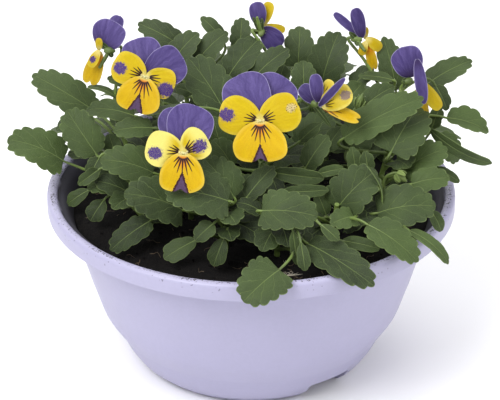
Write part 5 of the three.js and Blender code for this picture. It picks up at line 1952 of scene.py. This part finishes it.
    def greenery(self, root: Vector, draw: random.Random) -> tuple[list[Strand], list[Blade]]:
        """Works out the stalk, spur and calyx, and the sepals.

        Args:
            root: Where the stalk leaves its stem.
            draw: Random numbers.

        Returns:
            The strands and the blades.
        """
        plan, frame = self.plan, self.frame
        centre = frame.ahead(-self.calyx_setback)
        if plan.seen:
            tips = [SHEET.place(spot) for spot in plan.sepals]
            crook, spur = SHEET.place(plan.crook), SHEET.place(plan.spur)
        else:
            turns = [90 + i * 360 / self.sepals for i in range(self.sepals)]
            tips = [centre + frame.around(turn) * 6.8 - frame.front * 5.1 for turn in turns]
            spur = centre - frame.front * 7.2 + frame.up * 4
            crook = centre - frame.front * 8.1 - UP * 3
        knee = root.lerp(crook, 0.55) + UP * 2
        strands = [
            drawn_out([root, knee, crook, centre], *self.stalk_radii, 22),
            drawn_out([centre, centre.lerp(spur, 0.55) - UP * 0.3, spur], *self.spur_radii, 8, 0.15),
            frame.strand(self.calyx),
        ]
        blades = []
        for tip in tips:
            width, tone = draw.uniform(*self.sepal_width), draw.uniform(-0.2, 0.4)
            start = centre + (tip - centre).normalized() * 1.2
            face = SHEET.towards if plan.seen else (tip - frame.at).normalized() * 0.3 - frame.front
            blades.append(Blade(SEPAL, start, tip, face, width, arch=0.5, fold=8, neck=0.6, tone=tone))
        return strands, blades


# ---- Leafy stems -----------------------------------------------------------------------------------------


def front_leaf(row: LeafRow, draw: random.Random) -> Blade:
    """Works out a leaf of the table.

    Args:
        row: The leaf's row.
        draw: Random numbers.

    Returns:
        The leaf.
    """
    _, kind, base, tip, width, teeth, turn, arch, fold = row
    start, end = SHEET.place(base), SHEET.place(tip)
    face = Quaternion((end - start).normalized(), math.radians(turn)) @ FRONT_FACE
    teeth += (width > 11) + (width > 17)
    return surfaced(Blade(kind, start, end, face, width, teeth, arch, fold), draw)


def surfaced(blade: Blade, draw: random.Random) -> Blade:
    """Gives a leaf its quilting and waves by its size, and a random tone with painted light and painted shade
    by where it stands.

    Args:
        blade: The leaf.
        draw: Random numbers.

    Returns:
        The leaf.
    """
    large = min(1.0, blade.width / 20.0)
    blade.neck, blade.quilt = 0.8, 1.1 * large
    blade.ripple = large * draw.uniform(0.5, 1.0)
    blade.ruffle = 0.006
    x, y = blade.base.x, blade.base.y
    # Painted light and shade: leaves to the right and left are made lighter and low ones darker, over a
    # random tone.
    right, left = float(smoothstep(15, 80, np.array(x))), float(smoothstep(-30, -90, np.array(x)))
    low = float(smoothstep(128, 100, np.array(blade.base.z)))
    blade.tone = draw.uniform(-0.5, 0.4) + 0.5 * right + 0.35 * left - 0.35 * low
    blade.hue = 0.15 + 0.5 * float(smoothstep(0, 50, np.array(y))) + draw.uniform(-0.1, 0.1)
    return blade


def back_leaves(draw: random.Random) -> list[tuple[str, Blade]]:
    """Works out the leaves of the back rings.

    Args:
        draw: Random numbers.

    Returns:
        A stem's name and a leaf for each.
    """
    jitter = seeded(7)
    made = []
    for stems, count, first, last, base, tip, width, teeth in BACK_RINGS:
        for i in range(count):
            out = bearing(first + (last - first) * i / (count - 1) + jitter() * 4)
            further, higher = jitter() * 3, jitter() * 2
            start, end = (out * (radius + further) + UP * (height + higher) for radius, height in (base, tip))
            blade = Blade(EGG, start, end, out * 0.4 + UP, width + jitter() * 2, teeth + 1, 3, 7)
            made.append((stems[int((i + 0.5) / count * len(stems))], surfaced(blade, draw)))
    return made


@dataclass
class LeafyStem:
    """One stem with its leaves, petioles, hairs, and the stalks of its blooms and buds.

    Lengths and heights are in millimetres. dip is how far the stem's foot goes down into the soil, crown is
    the share of the stem that petioles reach out from, and low_reach is how far from the bowl's axis a low
    leaf may start and end.
    """

    name: str
    foot: Pair
    top: Spot
    leaves: list[Blade] = field(default_factory=list)
    blooms: list[Bloom] = field(default_factory=list)
    radius: float = 1.75
    petiole: float = 0.95
    leaf: float = 0.42
    soil: float = 90.0
    dip: float = 13.0
    crown: float = 0.7
    clearance: float = 3.0
    tip_gap: float = 4.0
    undergrowth: int = 9
    low_top: float = 134.0
    low_reach: Pair = (88.0, 96.0)
    low_length: Pair = (12.0, 22.0)
    low_width: Pair = (9.0, 17.0)
    stipule_gap: int = 15
    stipule_reach: Pair = (2.6, 4.2)
    stipule_rise: Pair = (3.0, 5.5)
    stipule_width: float = 2.6
    bud_stalk: Pair = (0.9, 0.8)
    bud_sepals: int = 5
    hairs: int = 170
    hair_length: Pair = (0.4, 0.9)
    hair_radii: Pair = (0.05, 0.02)

    @property
    def route(self) -> list[Vector]:
        """The points that the stem passes."""
        x, y = self.foot
        return [Vector((x, y, self.soil - self.dip)), Vector((x, y, self.soil + 4)), Vector(self.top)]

    def at_height(self, height: float) -> Vector:
        """Finds the place on the stem at a height."""
        return min((flowing(self.route, i / 40) for i in range(41)), key=lambda place: abs(place.z - height))

    def petiole_of(self, blade: Blade) -> Strand:
        """Works out the petiole that carries a leaf.

        Args:
            blade: The leaf.

        Returns:
            The strand.
        """
        base, crown = blade.base, flowing(self.route, self.crown)
        reach = math.hypot(base.x - crown.x, base.y - crown.y)
        height = max(self.soil + self.clearance, base.z - 3 - reach * 0.45)
        root = self.at_height(min(height, self.top[2] - self.tip_gap))
        span = (base - root).length
        bend = base + (base - blade.tip).normalized() * span * 0.4
        bend.z = max(bend.z, self.soil + self.clearance)
        points = curved(root, bend, base, 10)
        radii = [self.petiole * (1.15 - 0.045 * i) for i in range(len(points))]
        return Strand(points, radii)

    def midrib_of(self, blade: Blade) -> Strand:
        """Works out the rib that runs on under a leaf from its petiole.

        Args:
            blade: The leaf.

        Returns:
            The strand.
        """
        along, _, outward = blade.axes
        points, radii = [], []
        for i in range(9):
            run = 0.92 * i / 8
            lift = blade.arch * 4 * run * (1 - run) - blade.droop * run**2.5
            points.append(blade.base + along * blade.length * run + outward * (lift - 0.3))
            radii.append(0.6 * (1 - run) ** 0.8 + 0.12)
        return Strand(points, radii)

    def low_leaves(self, draw: random.Random) -> list[Blade]:
        """Draws the small leaves that fill the stem's foot.

        Args:
            draw: Random numbers.

        Returns:
            The leaves.
        """
        made = []
        for _ in range(self.undergrowth):
            height = draw.uniform(self.soil + 8, min(self.top[2] - 10, self.low_top))
            root = self.at_height(height)
            out = bearing(draw.uniform(0, 360))
            start = root + out * draw.uniform(5, 11) + UP * draw.uniform(0, 3)
            end = start + out * draw.uniform(*self.low_length) + UP * draw.uniform(-4, 7)
            if start.xy.length > self.low_reach[0] or end.xy.length > self.low_reach[1]:
                continue
            width = draw.uniform(*self.low_width)
            face = UP + out * 0.2 - Vector((0, 0.5, 0))
            blade = surfaced(Blade(EGG, start, end, face, width, 4, 2, 6), draw)
            # Painted shade: the small leaves at the stem's foot are made darker.
            blade.tone -= 0.35
            made.append(blade)
        return made

    def hair(self, strand: Strand, draw: random.Random) -> Strand:
        """Makes one short hair on a strand.

        Args:
            strand: The strand that it stands on.
            draw: Random numbers.

        Returns:
            The hair.
        """
        share = draw.uniform(0.1, 0.95)
        step = min(int(share * (len(strand.points) - 1)), len(strand.points) - 2)
        start = strand.points[step].lerp(strand.points[step + 1], draw.random())
        axis = (strand.points[step + 1] - strand.points[step]).normalized()
        out = axis.orthogonal()
        out.rotate(Quaternion(axis, draw.uniform(0, 2 * math.pi)))
        root = start + out * strand.radii[step] * 0.85
        tip = root + (out + axis * 0.2) * draw.uniform(*self.hair_length)
        return Strand([root, tip], list(self.hair_radii))

    def stipules(self, draw: random.Random) -> list[Blade]:
        """Works out the pairs of small stipules that stand along the stem.

        Args:
            draw: Random numbers.

        Returns:
            The stipules.
        """
        made = []
        for height in range(int(self.soil) + 14, int(self.top[2]) - 4, self.stipule_gap):
            root = self.at_height(height)
            turn = draw.uniform(0, 360)
            for side in (0, 180):
                out = bearing(turn + side)
                start, face = root + out * self.radius * 0.6, out * 0.6 - UP * 0.4
                end = start + out * draw.uniform(*self.stipule_reach) + UP * draw.uniform(*self.stipule_rise)
                width, tone = self.stipule_width, draw.uniform(0.9, 1.6)
                made.append(Blade(STRAP, start, end, face, width, 3, 0.4, 5, 0.5, tone=tone))
        return made

    def bud(self, way: list[Spot], base: Spot, tip: Spot, radius: float) -> tuple[list[Strand], list[Blade]]:
        """Works out a bud with its stalk, and its sepals.

        Args:
            way: Places on the sheet that its stalk passes.
            base: The bud's base on the sheet.
            tip: Its tip.
            radius: Its radius.

        Returns:
            The strands and the sepals.
        """
        start, end = SHEET.place(base), SHEET.place(tip)
        root = self.at_height(SHEET.place(way[0]).z - 8)
        knots = [root, *(SHEET.place(spot) for spot in way), start, start.lerp(end, 0.3)]
        stalk = drawn_out(knots, *self.bud_stalk, 22)
        shares = [i / 9 for i in range(10)]
        swell = [math.sin(math.pi * min(1, 0.1 + share**0.8 * 0.9)) ** 0.7 for share in shares]
        radii = [radius * max(0.12, part) for part in swell]
        body = Strand([start.lerp(end, share) for share in shares], radii)
        sepals = []
        along = (end - start).normalized()
        for i in range(self.bud_sepals):
            out = along.orthogonal()
            out.rotate(Quaternion(along, i * 2 * math.pi / self.bud_sepals))
            foot = start.lerp(end, 0.02) + out * radius * 0.5
            peak, width = start.lerp(end, 0.62) + out * radius * 1.15, radius * 1.3
            sepals.append(Blade(SEPAL, foot, peak, out, width, arch=0.6, fold=6, neck=0.3, tone=1.8))
        return [stalk, body], sepals

    def flowering(self, draw: random.Random) -> list[tuple[list[Strand], list[Blade]]]:
        """Works out the strands and the sepals of each of the stem's blooms and buds.

        Args:
            draw: Random numbers.

        Returns:
            The strands and the sepals of each.
        """
        root = self.at_height(self.top[2] - self.tip_gap)
        made = [bloom.greenery(root, draw) for bloom in self.blooms]
        return made + [self.bud(*row) for owner, *row in BUDS if owner == self.name]

    def build(self, nets: Nets, dyes: Dyes) -> None:
        """Makes the leaves and the stalks, in place of the stem's solid.

        Args:
            nets: The nets.
            dyes: The materials by use.
        """
        draw = random.Random(self.name)
        leaves = self.leaves + self.low_leaves(draw)
        stalks = [drawn_out(self.route, self.radius, self.radius * 0.8, 24)]
        stalks += [self.petiole_of(blade) for blade in leaves]
        blades = [*leaves, *self.stipules(draw)]
        for strands, sepals in self.flowering(draw):
            stalks += strands
            blades += sepals
        hairs = [self.hair(draw.choice(stalks), draw) for _ in range(self.hairs)]
        laid = [blade.laid(nets.fitting(blade)) for blade in blades]
        green = thickened(f"stem_{self.name}_leaves", laid, self.leaf)
        dressed(green, dyes["leaf"])
        ribs = [self.midrib_of(blade) for blade in leaves]
        rods = [strands_mesh("stalks", stalks, 2), strands_mesh("ribs", ribs, 0)]
        woody = joined(f"stem_{self.name}_stalks", rods)
        dressed(woody, dyes["stalk"])
        down = strands_mesh(f"stem_{self.name}_hairs", hairs, 0)
        dressed(down, dyes["hair"])
        for piece in (green, woody, down):
            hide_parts(f"stem_{self.name}")
            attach(piece, "root")


@dataclass
class RootFuzz:
    """A tuft of dry pale roots on the soil at the front, kept between two heights and inside the bowl."""

    spots: tuple[Spot, ...] = ((286.0, 270.0, -95.0), (292.0, 268.0, -96.0), (298.0, 273.0, -98.0))
    strands: int = 34
    stretch: float = 2.475
    heights: Pair = (91.0, 99.0)
    reach: float = 97.0
    radii: Pair = (0.2, 0.07)
    seed: int = 3

    def build(self, dye: Material) -> None:
        """Makes the tuft.

        Args:
            dye: The material.
        """
        draw = random.Random(self.seed)
        roots = []
        for _ in range(self.strands):
            start = SHEET.place(draw.choice(self.spots))
            route = [start]
            for _ in range(3):
                drift = Vector([draw.uniform(-1, 1) for _ in range(3)])
                drift.z = drift.z * 0.5 + 0.1
                route.append(route[-1] + drift * self.stretch)
            for knot in route:
                knot.z = min(max(knot.z, self.heights[0]), self.heights[1])
                knot.xy = knot.xy * min(1.0, self.reach / max(knot.xy.length, 1.0))
            roots.append(drawn_out(route, *self.radii, 9))
        tuft = strands_mesh("root_fuzz", roots, 0)
        dressed(tuft, dye)
        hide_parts("soil")
        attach(tuft, "root")


# ---- Studio ----------------------------------------------------------------------------------------------


@dataclass
class Studio:
    """The pale floor and backdrop, soft lights and the camera.

    Lengths are in metres, and the lens and its sensor in millimetres. The floor lies drop below the bowl and
    rises behind bend, and each light has a name, a place, a size and a power in watts.
    """

    floor: float = 10.0
    drop: float = 0.0002
    bend: float = 2.6
    steepness: float = 0.6
    lens: float = 153.1
    sensor: float = 36.0
    clip: Pair = (0.05, 30.0)
    place: Spot = (0.0, -1.0678, 0.6516)
    target: Spot = (0.0, 0.0, 0.104)
    shift: Pair = (-0.0024, -0.0304)
    sky: float = 0.49
    lights: tuple[tuple[str, Spot, float, float], ...] = (
        ("key", (-0.7, -0.8, 1.3), 0.9, 23.5),
        ("fill", (1.15, -0.5, 0.95), 1.0, 8.0),
        ("top", (0.1, 0.5, 1.6), 1.4, 10.0),
        ("back", (-0.5, 1.3, 0.8), 1.2, 7.0),
    )

    def build(self) -> None:
        """Sets up floor, sky, lights and camera."""
        self.lay_floor()
        scene = bpy.context.scene
        world = bpy.data.worlds.new("Studio")
        scene.world = world
        world.use_nodes = True
        background = world.node_tree.nodes["Background"]
        background.inputs["Color"].default_value = WHITE
        background.inputs["Strength"].default_value = self.sky
        for name, place, size, power in self.lights:
            lamp = bpy.data.lights.new(name, "AREA")
            lamp.shape, lamp.size, lamp.energy = "SQUARE", size, power
            self.aimed(name, lamp, place)
        lens = bpy.data.cameras.new("camera")
        lens.lens, lens.sensor_width = self.lens, self.sensor
        lens.shift_x, lens.shift_y = self.shift
        lens.clip_start, lens.clip_end = self.clip
        scene.camera = self.aimed("camera", lens, self.place)
        scene.view_settings.view_transform = "Standard"

    def lay_floor(self) -> None:
        """Makes the sheet that is the floor and curves up behind the plant."""
        bpy.ops.object.select_all(action="DESELECT")
        bpy.ops.mesh.primitive_grid_add(x_subdivisions=8, y_subdivisions=24, size=self.floor, calc_uvs=False)
        sheet = named("studio_sheet")
        places = points_of(sheet)
        places[:, 2] = (places[:, 1] - self.bend).clip(0.0) ** 2 * self.steepness - self.drop
        move_points(sheet, places)
        smoothed(sheet, 60)
        dressed(sheet, StudioPaper().material())

    def aimed(self, name: str, data: bpy.types.Light | bpy.types.Camera, place: Spot) -> Piece:
        """Sets a light or a camera up so that it looks at the plant.

        Args:
            name: Its name.
            data: The light or the camera.
            place: Where it stands.

        Returns:
            The object.
        """
        made = bpy.data.objects.new(name, data)
        bpy.context.scene.collection.objects.link(made)
        made.location = place
        made.rotation_euler = (Vector(self.target) - made.location).to_track_quat("-Z", "Y").to_euler()
        return made


# ---- Assembly --------------------------------------------------------------------------------------------


def dyed() -> Dyes:
    """Makes the finishes of the plant.

    Returns:
        The materials by use.
    """
    lip = YellowPetal(
        name="YellowLip",
        plain=linear(200, 165, 4),
        shade=linear(186, 144, 2),
        whisker_spacing=0.25,
        whisker_start=2.5,
        whisker_end=12.6,
        whisker_width=0.78,
        whisker_count=3.0,
        lip=True,
    )
    return {
        "leaf": LeafBlade().material(),
        "stalk": GreenStalk().material(),
        "hair": PaleThread().material(),
        "violet": VioletPetal().material(),
        "lateral": YellowPetal().material(),
        "lip": lip.material(),
        "throat": PaleThread("Throat", linear(212, 210, 158), linear(190, 190, 118), 0.45).material(),
        "root": PaleThread("DryRoot", linear(206, 200, 184), linear(150, 140, 120), 0.7).material(),
        "beard": PaleThread("Beard", linear(240, 236, 196), linear(222, 206, 128), 0.6).material(),
    }


def grow() -> list[LeafyStem]:
    """Works out the stems with their leaves and blooms.

    Returns:
        The stems.
    """
    draw = random.Random(5)
    stems = {name: LeafyStem(name, foot, top) for name, (foot, top) in STEMS.items()}
    for row in LEAVES:
        stems[row[0]].leaves.append(front_leaf(row, draw))
    for owner, blade in back_leaves(draw):
        stems[owner].leaves.append(blade)
    for name, plan in BLOOMS.items():
        stems[plan.stem].blooms.append(Bloom(name, plan))
    return list(stems.values())


def main() -> None:
    """Builds the plant, its bowl and the studio in order."""
    logging.basicConfig(level=logging.INFO, format="%(message)s")
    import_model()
    Bowl().build(LilacPlastic())
    LOG.info("bowl built")
    Soil().build(Peat(), PaleThread("SoilFibre", linear(120, 100, 74), linear(70, 56, 42)))
    LOG.info("soil built")
    nets, dyes = Nets(), dyed()
    for stem in grow():
        stem.build(nets, dyes)
        LOG.info("stem %s built, %d leaves", stem.name, len(stem.leaves))
        for bloom in stem.blooms:
            bloom.build(nets, dyes)
            LOG.info("bloom %s built", bloom.name)
    nets.clear()
    RootFuzz().build(dyes["root"])
    LOG.info("roots built")
    Studio().build()
    LOG.info("studio built")


if __name__ == "__main__":
    main()
